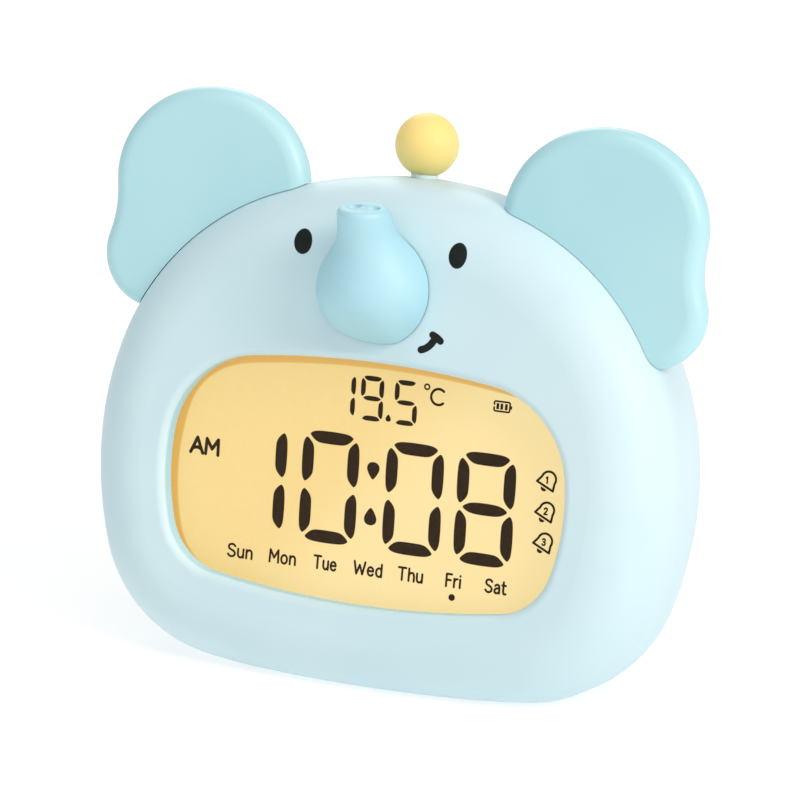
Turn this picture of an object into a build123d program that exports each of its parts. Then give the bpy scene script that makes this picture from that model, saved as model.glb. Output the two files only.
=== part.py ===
from build123d import *
import os
from math import atan2, cos, degrees, hypot, radians, sin, sqrt

# An alarm clock in the shape of an elephant's head. All sizes are in millimetres.
# The head leans back. Its own frame has X to the right, Y up along the face and Z out
# of the face, so a depth behind the face is a negative Z. The finished pieces are then
# placed upright on the floor, +Z up, with the face towards -Y.

# Stance
lean_angle = 11.7
face_reach = 30.977
base_level = 0.8
overrun = 60.0
fit_gap = 0.15
seat_gap = 0.3
running_gap = 0.08

# Head
head_half_width = 60.5
widest_level = 43.4
crown_level = 100.1
chin_level = -1.3
high_side_radius = 64.3
high_side_turn = 16.9
shoulder_share = 0.963
low_side_radius = 72.5
low_side_turn = 17.1
jaw_share = 0.864
front_round = 13.5
side_band = 7.1
head_depth = 44.8
seam_depth = 16.0
wall = 2.2
tongue_length = 1.4
tongue_wall = 1.2
tongue_root = 1.8

# Window in the face
window_half_width = 41.7
window_half_height = 23.7
window_level = 41.5
window_cap_radius = 190.0
window_end_radius = 46.0
window_high_corner = 19.0
window_low_corner = 12.5
lip_round = 1.6
lens_depth = 3.8
lens_thickness = 1.5
lens_margin = 1.6
frame_margin = 3.8

# Display stack behind the window
glass_side_margin = 1.5
glass_end_margin = 1.2
glass_thickness = 2.0
guide_thickness = 3.0
guide_side_gap = 1.0
ledge_height = 4.0
lamp_strip_thickness = 0.8
lamp_strip_half_width = 30.0
lamp_depth = 0.6
lamp_half_width = 1.6
lamp_spacing = 20.0
lamp_count = 3
contact_half_width = 36.0
contact_half_height = 1.0
contact_inset = 0.6
holder_rim = 1.6
holder_floor = 1.5
holder_corner = 4.0
tab_margin = 3.2
tab_half_height = 12.0
tab_thickness = 2.5

# Main board and what sits on its back
board_thickness = 1.6
board_inset = 1.3
chip_side = 12.0
chip_height = 1.6
chip_x = -14.0
chip_rise = 8.0
crystal_radius = 1.05
crystal_length = 6.0
crystal_x = 2.0
crystal_rise = 13.0
sensor_radius = 1.5
sensor_x = 36.0
sensor_drop = 8.0
socket_half_width = 3.5
socket_half_height = 2.1
socket_depth = 4.6
socket_wall = 0.6
socket_x = 20.0
socket_spacing = 9.5
socket_count = 3
socket_rise = 15.0

# Screws
screw_head_radius = 2.3
screw_head_height = 1.6
screw_shank_radius = 1.1
screw_slack = 0.1
screw_bite = 6.0
display_screw_gap = 5.4
display_screw_rise = 8.5
display_post_radius = 2.9
case_post_radius = 3.3
case_tube_radius = 4.2
case_well_radius = 2.7
case_floor = 3.0
upper_post_x = 45.4
upper_post_level = 71.6
lower_post_x = 48.6
lower_post_level = 21.8

# Ears
ear_front_depth = 8.6
ear_thickness = 6.8
ear_edge_round = 3.2
ear_lobe_x = 41.1
ear_lobe_level = 95.5
ear_lobe_half_width = 20.6
ear_lobe_half_height = 18.6
ear_drop_x = 52.1
ear_drop_level = 80.1
ear_drop_radius = 10.8
ear_notch_round = 22.0
ear_screw_angles = (62.0, 46.0)
ear_boss_radius = 2.6
ear_boss_length = 3.0

# Trunk
trunk_level = 79.3
bulb_radius = 11.2
bulb_out = 0.3
bulb_shoulder_angle = 25.0
trunk_tilt = 29.0
trunk_length = 18.8
trunk_tip_radius = 5.0
trunk_neck_radius = 5.4
trunk_neck_length = 4.4
trunk_tip_round = 1.5
nostril_radius = 1.5
nostril_depth = 1.0
nostril_x = 2.0
trunk_screw_x = 5.5
trunk_screw_reach = 7.0

# Ball button
ball_radius = 6.25
ball_depth = 20.1
ball_stand = 0.2
ball_travel = 0.5
ball_seat_gap = 0.05
stem_radius = 2.65
stem_pin_radius = 1.6
stem_pin_length = 4.0
stem_guide_wall = 1.2
stem_guide_length = 5.0
stem_flange_radius = 4.0
stem_flange_height = 1.4
stem_shank_length = 5.0
stem_shank_radius = 1.7

# Push switches under the ball and the keys
switch_half_side = 3.0
switch_height = 3.4
plunger_radius = 1.6
plunger_height = 1.0
plunger_depth = 1.3
plunger_room = 0.2

# Bracket that carries the ball's switch
bracket_half_gap = 9.0
bracket_wall = 1.6
bracket_half_depth = 4.4
bracket_foot = 6.4
bracket_boss_radius = 2.6
bracket_boss_drop = 4.4
bracket_bite = 4.0
switch_board_half_width = 7.0
switch_board_half_depth = 4.0
switch_board_thickness = 1.2

# Keys in the back
key_count = 4
key_radius = 4.5
key_gap = 0.3
key_flange_radius = 5.7
key_flange_height = 1.0
key_proud = 1.2
key_round = 0.6
key_travel = 0.7
key_level = 40.0
key_spacing = 18.0
key_foot_radius = 2.0
key_foot_length = 1.6
key_board_half_height = 6.2
key_board_margin = 6.0
key_post_radius = 2.5

# Speaker
speaker_level = 60.5
speaker_radius = 13.5
speaker_flange_height = 1.2
speaker_basket_depth = 5.0
speaker_neck_radius = 9.5
speaker_wall = 0.8
speaker_magnet_radius = 8.5
speaker_magnet_height = 3.4
cone_edge_radius = 11.8
cone_neck_radius = 4.0
cone_depth = 2.6
cone_wall = 0.5
speaker_ring_wall = 1.4
speaker_ring_height = 3.0
grille_hole_radius = 1.1
grille_ring_spacing = 4.2
grille_rings = 2

# Charging socket and its board
plug_half_width = 4.5
plug_half_height = 1.6
plug_corner = 1.5
plug_length = 7.2
plug_level = 29.0
plug_recess = 0.5
plug_wall = 0.35
plug_tongue_half_width = 3.2
plug_tongue_half_height = 0.35
charge_board_half_width = 10.0
charge_board_thickness = 1.2
charge_board_lead = 0.8
charge_rib_half_width = 1.5
charge_screw_x = 8.0
charge_screw_inset = 6.4
charge_bite_share = 0.8

# Battery
cell_radius = 9.15
cell_length = 65.0
cell_level = 21.0
cell_depth = 27.0
cell_cap_radius = 3.0
cell_cap_height = 1.0
cradle_wall = 1.6
cradle_end = 2.0
cradle_rise = 10.0

# Feet
foot_radius = 3.5
foot_thickness = 1.6
foot_x = 22.0
front_foot_reach = 12.4
rear_foot_reach = 34.0

lean_sin = sin(radians(lean_angle))
lean_cos = cos(radians(lean_angle))
face = Plane(origin=(0, -face_reach, 0), x_dir=(1, 0, 0), z_dir=(0, -lean_cos, lean_sin))
lean = face.location
side_to_side = Plane.YZ

lens_back = lens_depth + lens_thickness
glass_half_width = window_half_width + glass_side_margin
glass_half_height = window_half_height + glass_end_margin
guide_half_width = glass_half_width - guide_side_gap
holder_half_width = glass_half_width + fit_gap + holder_rim
holder_half_height = glass_half_height + fit_gap + holder_rim
display_screw_x = holder_half_width + display_screw_gap
tab_reach = display_screw_x + tab_margin
glass_front = lens_back + seat_gap
glass_back = glass_front + glass_thickness
guide_back = glass_back + guide_thickness
holder_back = guide_back + holder_floor
tab_front = holder_back - tab_thickness
board_back = holder_back + board_thickness
glass_low = window_level - glass_half_height
glass_high = window_level + glass_half_height
rear_inside = head_depth - wall
rear_round = head_depth - front_round - side_band
screw_hole = screw_shank_radius + screw_slack
case_seat_depth = seam_depth + case_floor
ear_seat = wall + ear_boss_length

crown_back = max(0, ball_depth - (head_depth - rear_round))
crown_at_stem = crown_level - rear_round + sqrt(rear_round**2 - crown_back**2)
ball_level = crown_at_stem + ball_stand + ball_radius
stem_guide_end = crown_at_stem - wall - stem_guide_length
flange_top = stem_guide_end - seat_gap
flange_low = flange_top - stem_flange_height
stem_foot = flange_low - stem_shank_length
ball_switch_top = stem_foot - plunger_height
switch_board_top = ball_switch_top - switch_height
bracket_floor_top = switch_board_top - switch_board_thickness
bracket_boss_end = crown_at_stem - wall - bracket_boss_drop
bracket_screw_x = bracket_half_gap + bracket_wall + bracket_foot / 2

key_flange_back = rear_inside - seat_gap
key_flange_front = key_flange_back - key_flange_height
key_foot_end = key_flange_front - key_foot_length
key_switch_top = key_foot_end - plunger_height
key_board_back = key_switch_top - switch_height
key_board_front = key_board_back - board_thickness

plug_back = head_depth - plug_recess
plug_front = plug_back - plug_length
charge_board_low = plug_level + plug_half_height
charge_board_high = charge_board_low + charge_board_thickness
charge_board_front = plug_front - charge_board_lead
charge_board_back = rear_inside - fit_gap
charge_screw_depth = head_depth - charge_screw_inset


def leaned(shape):
    """Place a shape of the head's own frame upright on the floor."""
    return lean * shape


def upright(shape):
    """Carry a shape made upright on the floor into the head's own frame."""
    return lean.inverse() * shape


def slab(outline, depth_from, depth_to):
    """Extrude an outline between two depths behind the face."""
    return Pos(0, 0, -depth_to) * extrude(outline, depth_to - depth_from)


def rod(radius, x, level, depth_from, depth_to):
    """A round bar square to the face, between two depths."""
    return slab(Pos(x, level) * Circle(radius), depth_from, depth_to)


def block(x, level, half_width, half_height, depth_from, depth_to):
    """A square bar square to the face, between two depths."""
    return slab(Pos(x, level) * Rectangle(2 * half_width, 2 * half_height), depth_from, depth_to)


def along_stem(shape):
    """Stand a shape, drawn along Z, on the ball's axis, which runs up along the face."""
    return Pos(0, 0, -ball_depth) * Rot(-90, 0, 0) * shape


def column(radius, level_from, level_to):
    """A round bar on the ball's axis between two levels."""
    return along_stem(Pos(0, 0, level_from) * extrude(Circle(radius), level_to - level_from))


def plate(x, half_width, half_depth, level_from, level_to):
    """A flat plate across the ball's axis between two levels."""
    outline = Pos(x, 0, level_from) * Rectangle(2 * half_width, 2 * half_depth)
    return along_stem(extrude(outline, level_to - level_from))


def both_sides(places):
    """Repeat places given on the right on the left as well."""
    return [(side * x, level) for x, level in places for side in (1, -1)]


def row(count, spacing):
    """Places of a centred row."""
    return [spacing * (n - (count - 1) / 2) for n in range(count)]


def as_group(solids):
    """Hold separate solids in one node."""
    return Compound(children=list(solids))


def screw(length):
    """A pan screw with its head above the plane and its shank below."""
    head = extrude(Circle(screw_head_radius), screw_head_height)
    head = fillet(head.edges().sort_by(Axis.Z)[-1], screw_head_height / 2)
    return head + extrude(Circle(screw_shank_radius), -length)


def screw_to_face(x, level, seat_depth, length):
    """A screw driven towards the face, its head behind the seat."""
    return Pos(x, level, -seat_depth) * Rot(180, 0, 0) * screw(length)


def screw_to_back(x, level, seat_depth, length):
    """A screw driven towards the back, its head in front of the seat."""
    return Pos(x, level, -seat_depth) * screw(length)


def switch_housing(travel):
    """A square push switch, its top on the plane, with the bore of its plunger."""
    body = extrude(Rectangle(2 * switch_half_side, 2 * switch_half_side), -switch_height)
    return body - extrude(Circle(plunger_radius + running_gap), -(plunger_depth + travel + plunger_room))


def plunger():
    """The plunger of a push switch, standing out of its housing's top."""
    return Pos(0, 0, -plunger_depth) * extrude(Circle(plunger_radius), plunger_depth + plunger_height)


def corner_radius(side_radius, side_turn, corner_share, reach):
    """Radius of a corner: a share of the largest circle that fits under the cap and beside the middle."""
    turn = radians(side_turn)
    under_cap = (reach - side_radius * sin(turn)) / (1 - sin(turn))
    beside_middle = side_radius - (side_radius - head_half_width) / cos(turn)
    return corner_share * min(under_cap, beside_middle)


def corner_centre(side_radius, side_turn, corner_share, reach):
    """Centre of the arc that joins a side to a cap, from the middle of the widest line."""
    arm = side_radius - corner_radius(side_radius, side_turn, corner_share, reach)
    turn = radians(side_turn)
    return head_half_width - side_radius + arm * cos(turn), arm * sin(turn)


def half_outline(side_radius, side_turn, corner_share, reach, inset):
    """Arcs of the head above the widest line: sides, corners and the cap that closes them."""
    radius = corner_radius(side_radius, side_turn, corner_share, reach)
    x, y = corner_centre(side_radius, side_turn, corner_share, reach)
    cap_radius = (x**2 + (reach - y) ** 2 - radius**2) / (2 * (reach - y - radius))
    cap_turn = degrees(atan2(y - reach + cap_radius, x))
    side = CenterArc((head_half_width - side_radius, 0), side_radius - inset, 0, side_turn)
    corner = CenterArc((x, y), radius - inset, side_turn, cap_turn - side_turn)
    cap = CenterArc((0, reach - cap_radius), cap_radius - inset, cap_turn, 180 - 2 * cap_turn)
    return [side, corner, cap, mirror(side, side_to_side), mirror(corner, side_to_side)]


upper_half = (high_side_radius, high_side_turn, shoulder_share, crown_level - widest_level)
lower_half = (low_side_radius, low_side_turn, jaw_share, widest_level - chin_level)


def head_outline(inset):
    """Outline of the head seen square to the face, drawn in by an inset."""
    above = half_outline(*upper_half, inset)
    below = [mirror(arc, Plane.XZ) for arc in half_outline(*lower_half, inset)]
    return Pos(0, widest_level) * make_face(above + below)


def head_block(inset):
    """The whole head, drawn in by an inset all round, before its base is cut."""
    solid = slab(head_outline(inset), inset, head_depth - inset)
    solid = fillet(solid.faces().sort_by(Axis.Z)[-1].edges(), front_round - inset)
    return fillet(solid.faces().sort_by(Axis.Z)[0].edges(), rear_round - inset)


def above_floor(height):
    """All the space above a height over the floor, in the head's frame."""
    room = Rectangle(2 * (overrun + head_half_width), 2 * (overrun + head_depth))
    return upright(Pos(0, 0, height) * extrude(room, overrun + crown_level))


def head_solid(inset):
    """The head with its flat base, drawn in by an inset all round."""
    return head_block(inset) & above_floor(base_level + inset)


def head_slice(depth_from, depth_to):
    """All the space between two depths."""
    return slab(Rectangle(2 * (overrun + head_half_width), 2 * (overrun + crown_level)), depth_from, depth_to)


def window_outline(grow):
    """Pillow outline of the window, from four wide arcs and round corners."""
    shape = Circle(window_cap_radius + grow)
    caps = [Pos(0, side * (window_half_height - window_cap_radius)) for side in (1, -1)]
    ends = [Pos(side * (window_half_width - window_end_radius), 0) for side in (1, -1)]
    shape = caps[0] * shape & caps[1] * shape
    for place in ends:
        shape = shape & place * Circle(window_end_radius + grow)
    shape = fillet(shape.vertices().sort_by(Axis.Y)[2:], window_high_corner + grow)
    shape = fillet(shape.vertices().sort_by(Axis.Y)[:2], window_low_corner + grow)
    return Pos(0, window_level) * shape


def window_frame():
    """The rounded lip of the window and the rebate behind it for the lens."""
    ring = slab(window_outline(frame_margin), 0, lens_back) - slab(window_outline(0), 0, lens_back)
    mouth = ring.faces().sort_by(Axis.Z)[-1].inner_wires()[0].edges()
    ring = fillet(mouth, lip_round)
    return ring - slab(window_outline(lens_margin + fit_gap), lens_depth, lens_back)


def ear_screw_axis(angle):
    """Place on the head's shoulder arc, turned outwards, for one ear screw."""
    x, y = corner_centre(*upper_half)
    radius = corner_radius(*upper_half)
    turn = radians(angle)
    spot = (x + radius * cos(turn), widest_level + y + radius * sin(turn), -ear_front_depth - ear_thickness / 2)
    return Plane(origin=spot, z_dir=(cos(turn), sin(turn), 0)).location


case_places = both_sides([(upper_post_x, upper_post_level), (lower_post_x, lower_post_level)])
display_high = (display_screw_x, window_level + display_screw_rise)
display_low = (display_screw_x, window_level - display_screw_rise)
display_places = both_sides([display_high, display_low])
trunk_places = both_sides([(trunk_screw_x, trunk_level)])
key_places = [(x, key_level) for x in row(key_count, key_spacing)]
key_post_places = both_sides([(key_spacing, key_level)])
charge_places = [charge_screw_x, -charge_screw_x]


def foot_spot(x, reach):
    """Place on the floor of one foot, at a reach behind the foot of the face."""
    return Pos(x, reach - face_reach, 0)


def foot_pocket(x, reach):
    return upright(foot_spot(x, reach) * extrude(Circle(foot_radius + fit_gap), foot_thickness))


def front_shell():
    """The face: front half of the head's wall, window frame, posts and bosses."""
    room = head_slice(-overrun, seam_depth)
    shell = (head_solid(0) - head_solid(wall)) & room
    shell -= slab(window_outline(frame_margin), -overrun, lens_back)
    shell += window_frame()
    posts = [rod(display_post_radius, x, y, 0, tab_front) for x, y in display_places]
    posts += [rod(case_post_radius, x, y, 0, seam_depth) for x, y in case_places]
    for angle in ear_screw_angles:
        boss = ear_screw_axis(angle) * extrude(Circle(ear_boss_radius), -ear_seat)
        posts += [boss, mirror(boss, side_to_side)]
    inside = head_solid(wall / 2)
    for post in posts:
        shell += post & inside
    cuts = [rod(screw_hole, x, y, tab_front - screw_bite, tab_front) for x, y in display_places]
    cuts += [rod(screw_hole, x, y, seam_depth - screw_bite, seam_depth) for x, y in case_places]
    cuts += [rod(screw_hole, x, y, -wall, wall) for x, y in trunk_places]
    for angle in ear_screw_angles:
        drill = ear_screw_axis(angle) * extrude(Circle(screw_hole), ear_seat, both=True)
        cuts += [drill, mirror(drill, side_to_side)]
    cuts += [foot_pocket(side * foot_x, front_foot_reach) for side in (1, -1)]
    for cut in cuts:
        shell -= cut
    return shell


def seam_tongue():
    """The lip of the rear shell that slips inside the front shell."""
    core = head_solid(wall + fit_gap + tongue_wall)
    lip = (head_solid(wall + fit_gap) - core) & head_slice(seam_depth - tongue_length, seam_depth)
    for x, y in case_places:
        lip -= rod(case_post_radius + seat_gap, x, y, 0, seam_depth)
    root = (head_solid(wall / 2) - core) & head_slice(seam_depth, seam_depth + tongue_root)
    return lip + root


def grille_places():
    """A hole in the middle and rings of holes round it."""
    places = [Pos(0, speaker_level)]
    for ring in range(1, grille_rings + 1):
        places += Pos(0, speaker_level) * PolarLocations(ring * grille_ring_spacing, 6 * ring)
    return places


def charge_rib(x):
    """A rib of the rear shell under one side of the charging board."""
    rear = rear_inside + wall / 2
    return block(x, plug_level, charge_rib_half_width, plug_half_height, charge_board_front, rear)


def charge_spot(x):
    """Top of the charging board, turned upwards, at one of its screws."""
    return Pos(x, charge_board_high, -charge_screw_depth) * Rot(-90, 0, 0)


def bracket_boss(x):
    """A boss under the crown for one foot of the switch bracket."""
    top = crown_at_stem
    return along_stem(Pos(x, 0, bracket_boss_end) * extrude(Circle(bracket_boss_radius), top - bracket_boss_end))


def bracket_drill(x):
    return along_stem(Pos(x, 0, bracket_boss_end) * extrude(Circle(screw_hole), bracket_bite, both=True))


def rear_shell():
    """The back: rear half of the wall, screw wells, key holes, grille, socket and stem guide."""
    room = head_slice(seam_depth, head_depth + overrun)
    shell = (head_solid(0) - head_solid(wall)) & room
    inside = head_solid(wall / 2) & room
    guide_radius = stem_radius + running_gap + stem_guide_wall
    ring = rod(speaker_radius + fit_gap + speaker_ring_wall, 0, speaker_level, rear_inside - speaker_ring_height, head_depth)
    ring -= rod(speaker_radius + fit_gap, 0, speaker_level, 0, rear_inside)
    posts = [rod(case_tube_radius, x, y, seam_depth, head_depth) for x, y in case_places]
    posts += [rod(key_post_radius, x, y, key_board_back, head_depth) for x, y in key_post_places]
    posts += [charge_rib(x) for x in charge_places]
    posts += [bracket_boss(x) for x in (bracket_screw_x, -bracket_screw_x)]
    posts += [column(guide_radius, stem_guide_end, crown_at_stem), ring]
    for post in posts:
        shell += post & inside
    shell += seam_tongue()
    cuts = [rod(case_well_radius, x, y, case_seat_depth, head_depth) for x, y in case_places]
    cuts += [rod(screw_hole, x, y, seam_depth, head_depth) for x, y in case_places]
    cuts += [rod(key_radius + key_gap, x, y, rear_inside, head_depth) for x, y in key_places]
    cuts += [rod(screw_hole, x, y, key_board_back, key_board_back + screw_bite) for x, y in key_post_places]
    cuts += [slab(place * Circle(grille_hole_radius), rear_inside, head_depth) for place in grille_places()]
    cuts += [slab(plug_outline(fit_gap), rear_inside, head_depth)]
    cuts += [charge_spot(x) * extrude(Circle(screw_hole), -charge_screw_length()) for x in charge_places]
    cuts += [bracket_drill(x) for x in (bracket_screw_x, -bracket_screw_x)]
    cuts += [column(stem_radius + running_gap, stem_guide_end, crown_level + wall)]
    cuts += [foot_pocket(side * foot_x, rear_foot_reach) for side in (1, -1)]
    for cut in cuts:
        shell -= cut
    return shell


def ear():
    """The right ear: a big round lobe with a small lobe under it, pillow edged."""
    lobe = Pos(ear_lobe_x, ear_lobe_level) * Rot(0, 0, 180) * Ellipse(ear_lobe_half_width, ear_lobe_half_height)
    outline = lobe + Pos(ear_drop_x, ear_drop_level) * Rot(0, 0, 180) * Circle(ear_drop_radius)
    outline = fillet(outline.vertices().sort_by(Axis.X)[-1], ear_notch_round)
    solid = slab(outline, ear_front_depth, ear_front_depth + ear_thickness)
    by_depth = solid.faces().sort_by(Axis.Z)
    solid = fillet(by_depth[-1].edges() + by_depth[0].edges(), ear_edge_round)
    solid -= head_block(-fit_gap)
    for angle in ear_screw_angles:
        solid -= ear_screw_axis(angle) * extrude(Circle(screw_hole), screw_bite, both=True)
    return solid.solids().sort_by(SortBy.VOLUME)[-1]


def ear_screws():
    group = []
    for angle in ear_screw_angles:
        seat = ear_screw_axis(angle) * Pos(0, 0, -ear_seat) * Rot(180, 0, 0)
        one = seat * screw(ear_seat + screw_bite - fit_gap)
        group += [one, mirror(one, side_to_side)]
    return as_group(group)


def trunk():
    """The upturned trunk: a vase whose round bulb sits half way into the face."""
    turn = radians(bulb_shoulder_angle)
    shoulder = (bulb_radius * cos(turn), bulb_radius * sin(turn))
    neck = (trunk_neck_radius, trunk_length - trunk_neck_length)
    tip = (trunk_tip_radius, trunk_length)
    down_neck = (neck[0] - tip[0], neck[1] - tip[1])
    flare = Spline(neck, shoulder, tangents=[down_neck, (sin(turn), -cos(turn))])
    bulb = ThreePointArc(shoulder, (bulb_radius, 0), (0, -bulb_radius))
    side = [Line((0, trunk_length), tip), Line(tip, neck), flare, bulb, Line((0, -bulb_radius), (0, trunk_length))]
    vase = revolve(Plane.XZ * make_face(side), Axis.Z)
    vase = fillet(vase.edges().sort_by(Axis.Z)[-1], trunk_tip_round)
    for side in (1, -1):
        vase -= Pos(side * nostril_x, 0, trunk_length - nostril_depth + nostril_radius) * Sphere(nostril_radius)
    vase = Pos(0, trunk_level, bulb_out) * Rot(trunk_tilt - 90, 0, 0) * vase
    for x, y in trunk_places:
        vase -= rod(screw_hole, x, y, -trunk_screw_reach - fit_gap, 0)
    return (vase - head_block(-fit_gap)).solids().sort_by(SortBy.VOLUME)[-1]


def trunk_screws():
    return as_group(screw_to_face(x, y, wall, wall + trunk_screw_reach) for x, y in trunk_places)


def window_lens():
    return slab(window_outline(lens_margin), lens_depth, lens_back)


def lcd_panel():
    return block(0, window_level, glass_half_width, glass_half_height, glass_front, glass_back)


guide_low = glass_low + ledge_height
guide_high = glass_high - lamp_strip_thickness - lamp_depth - fit_gap


def light_guide():
    middle = (guide_low + guide_high) / 2
    return block(0, middle, guide_half_width, (guide_high - guide_low) / 2, glass_back, guide_back)


def lamp_strip():
    """A strip board over the light guide with small lamps that shine down into it."""
    half = lamp_strip_thickness / 2
    front = glass_back + fit_gap
    back = guide_back - fit_gap
    strip = block(0, glass_high - half, lamp_strip_half_width, half, front, back)
    for x in row(lamp_count, lamp_spacing):
        lamp_level = glass_high - lamp_strip_thickness - lamp_depth / 2
        strip += block(x, lamp_level, lamp_half_width, lamp_depth / 2, front, back)
    return strip


contact_level = glass_low + contact_inset + contact_half_height


def contact_strip():
    """The springy strip that joins the display glass to the main board."""
    return block(0, contact_level, contact_half_width, contact_half_height, glass_back, holder_back)


def screw_tabs(thickness_from, thickness_to):
    """A cross bar whose ends take the display screws."""
    bar = block(0, window_level, tab_reach, tab_half_height, thickness_from, thickness_to)
    bar = fillet(bar.edges().filter_by(Axis.Z), holder_corner)
    for x, y in display_places:
        bar -= rod(screw_hole, x, y, thickness_from, thickness_to)
    return bar


def display_holder():
    """A tray with a rim round the glass and the light guide, and tabs for its screws."""
    tray = block(0, window_level, holder_half_width, holder_half_height, glass_front + fit_gap, holder_back)
    tray = fillet(tray.edges().filter_by(Axis.Z), holder_corner)
    tray += screw_tabs(tab_front, holder_back)
    pocket_width = glass_half_width + fit_gap
    pocket_height = glass_half_height + fit_gap
    tray -= block(0, window_level, pocket_width, pocket_height, 0, guide_back)
    slot_width = contact_half_width + fit_gap
    tray -= block(0, contact_level, slot_width, contact_half_height + fit_gap, guide_back, holder_back)
    return tray


def main_board():
    half_width = glass_half_width - board_inset
    half_height = glass_half_height - board_inset
    board = block(0, window_level, half_width, half_height, holder_back, board_back)
    return board + screw_tabs(holder_back, board_back)


def clock_chip():
    level = window_level + chip_rise
    body = block(chip_x, level, chip_side / 2, chip_side / 2, board_back, board_back + chip_height)
    return chamfer(body.faces().sort_by(Axis.Z)[0].edges(), chip_height / 4)


def quartz_crystal():
    can = Rot(0, 90, 0) * Cylinder(crystal_radius, crystal_length)
    return Pos(crystal_x, window_level + crystal_rise, -board_back - crystal_radius) * can


def temperature_sensor():
    return rod(sensor_radius, sensor_x, window_level - sensor_drop, board_back, board_back + sensor_radius)


def wire_sockets():
    """Three open sockets for the leads of the battery, the speaker and the keys."""
    group = []
    level = window_level + socket_rise
    back = board_back + socket_depth
    for x in row(socket_count, socket_spacing):
        shell = block(socket_x + x, level, socket_half_width, socket_half_height, board_back, back)
        inner_width = socket_half_width - socket_wall
        inner_height = socket_half_height - socket_wall
        group.append(shell - block(socket_x + x, level, inner_width, inner_height, board_back + socket_wall, back))
    return as_group(group)


def display_screws():
    length = board_thickness + tab_thickness + screw_bite - fit_gap
    return as_group(screw_to_face(x, y, board_back, length) for x, y in display_places)


def case_screws():
    length = case_floor + screw_bite - fit_gap
    return as_group(screw_to_face(x, y, case_seat_depth, length) for x, y in case_places)


def ball_cap():
    ball = along_stem(Pos(0, 0, ball_level) * Sphere(ball_radius))
    pin_top = ball_level - ball_radius + stem_pin_length
    return ball - column(stem_pin_radius + fit_gap, ball_level - ball_radius, pin_top + fit_gap)


def ball_stem():
    """Collar, pin, flange and shank that carry the ball through the crown to its switch."""
    collar = column(stem_radius, flange_low, ball_level)
    collar -= along_stem(Pos(0, 0, ball_level) * Sphere(ball_radius + ball_seat_gap))
    pin = column(stem_pin_radius, flange_low, ball_level - ball_radius + stem_pin_length)
    flange = column(stem_flange_radius, flange_low, flange_top)
    return collar + pin + flange + column(stem_shank_radius, stem_foot, flange_low)


def ball_switch():
    return along_stem(Pos(0, 0, ball_switch_top) * switch_housing(ball_travel))


def ball_plunger():
    return along_stem(Pos(0, 0, ball_switch_top) * plunger())


def switch_board():
    top = switch_board_top
    return plate(0, switch_board_half_width, switch_board_half_depth, bracket_floor_top, top)


def switch_bracket():
    """A stirrup under the crown: a floor, two legs and two feet screwed to bosses."""
    outer = bracket_half_gap + bracket_wall
    floor_low = bracket_floor_top - bracket_wall
    stirrup = plate(0, outer, bracket_half_depth, floor_low, bracket_floor_top)
    for side in (1, -1):
        leg = side * (bracket_half_gap + bracket_wall / 2)
        stirrup += plate(leg, bracket_wall / 2, bracket_half_depth, floor_low, bracket_boss_end)
        foot = side * bracket_screw_x
        foot_low = bracket_boss_end - bracket_wall
        stirrup += plate(foot, bracket_foot / 2, bracket_half_depth, foot_low, bracket_boss_end)
        stirrup -= bracket_drill(foot)
    return stirrup


def bracket_screws():
    seat = bracket_boss_end - bracket_wall
    length = bracket_wall + bracket_bite - fit_gap
    places = [bracket_screw_x, -bracket_screw_x]
    return as_group(along_stem(Pos(x, 0, seat) * Rot(180, 0, 0) * screw(length)) for x in places)


def key(x):
    """A round key with a flange that keeps it in and a foot on its switch."""
    cap = rod(key_radius, x, key_level, key_flange_back, head_depth + key_proud)
    cap = fillet(cap.edges().sort_by(Axis.Z)[0], key_round)
    flange = rod(key_flange_radius, x, key_level, key_flange_front, key_flange_back)
    return cap + flange + rod(key_foot_radius, x, key_level, key_foot_end, key_flange_front)


def key_switch_spot(x):
    """Top of the switch under one key, turned to the back."""
    return Pos(x, key_level, -key_switch_top) * Rot(180, 0, 0)


def key_switches():
    return as_group(key_switch_spot(x) * switch_housing(key_travel) for x, y in key_places)


def key_plunger(x):
    return key_switch_spot(x) * plunger()


def key_board():
    half_width = key_spacing * (key_count - 1) / 2 + key_board_margin
    board = block(0, key_level, half_width, key_board_half_height, key_board_front, key_board_back)
    for x, y in key_post_places:
        board -= rod(screw_hole, x, y, key_board_front, key_board_back)
    return board


def key_board_screws():
    length = board_thickness + screw_bite - fit_gap
    return as_group(screw_to_back(x, y, key_board_front, length) for x, y in key_post_places)


def speaker_axis(shape):
    """Place a shape drawn along Z, growing forwards from the inside of the rear wall."""
    return Pos(0, speaker_level, -rear_inside) * shape


def speaker_basket():
    """A flanged dish, open to the back."""
    top = speaker_flange_height + speaker_basket_depth
    dish = extrude(Circle(speaker_radius), speaker_flange_height)
    mouth = Pos(0, 0, speaker_flange_height) * Circle(speaker_radius - speaker_wall)
    dish += loft([mouth, Pos(0, 0, top) * Circle(speaker_neck_radius)])
    inner = speaker_neck_radius - speaker_wall
    hollow = loft([Circle(speaker_radius - 2 * speaker_wall), Pos(0, 0, top - speaker_wall) * Circle(inner)])
    return speaker_axis(dish - hollow)


def speaker_cone():
    """A thin cone inside the basket, its rim on the basket's wall near the mouth."""
    rim = Pos(0, 0, fit_gap)
    deep = Pos(0, 0, fit_gap + cone_depth)
    outer = loft([rim * Circle(cone_edge_radius), deep * Circle(cone_neck_radius + cone_wall)])
    inner = loft([rim * Circle(cone_edge_radius - cone_wall), deep * Circle(cone_neck_radius)])
    return speaker_axis(outer - inner)


def speaker_magnet():
    low = speaker_flange_height + speaker_basket_depth
    disc = Pos(0, 0, low) * extrude(Circle(speaker_magnet_radius), speaker_magnet_height)
    return speaker_axis(disc)


def plug_outline(grow):
    """Outline of the charging socket."""
    width = 2 * (plug_half_width + grow)
    height = 2 * (plug_half_height + grow)
    return Pos(0, plug_level) * RectangleRounded(width, height, plug_corner + grow)


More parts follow.
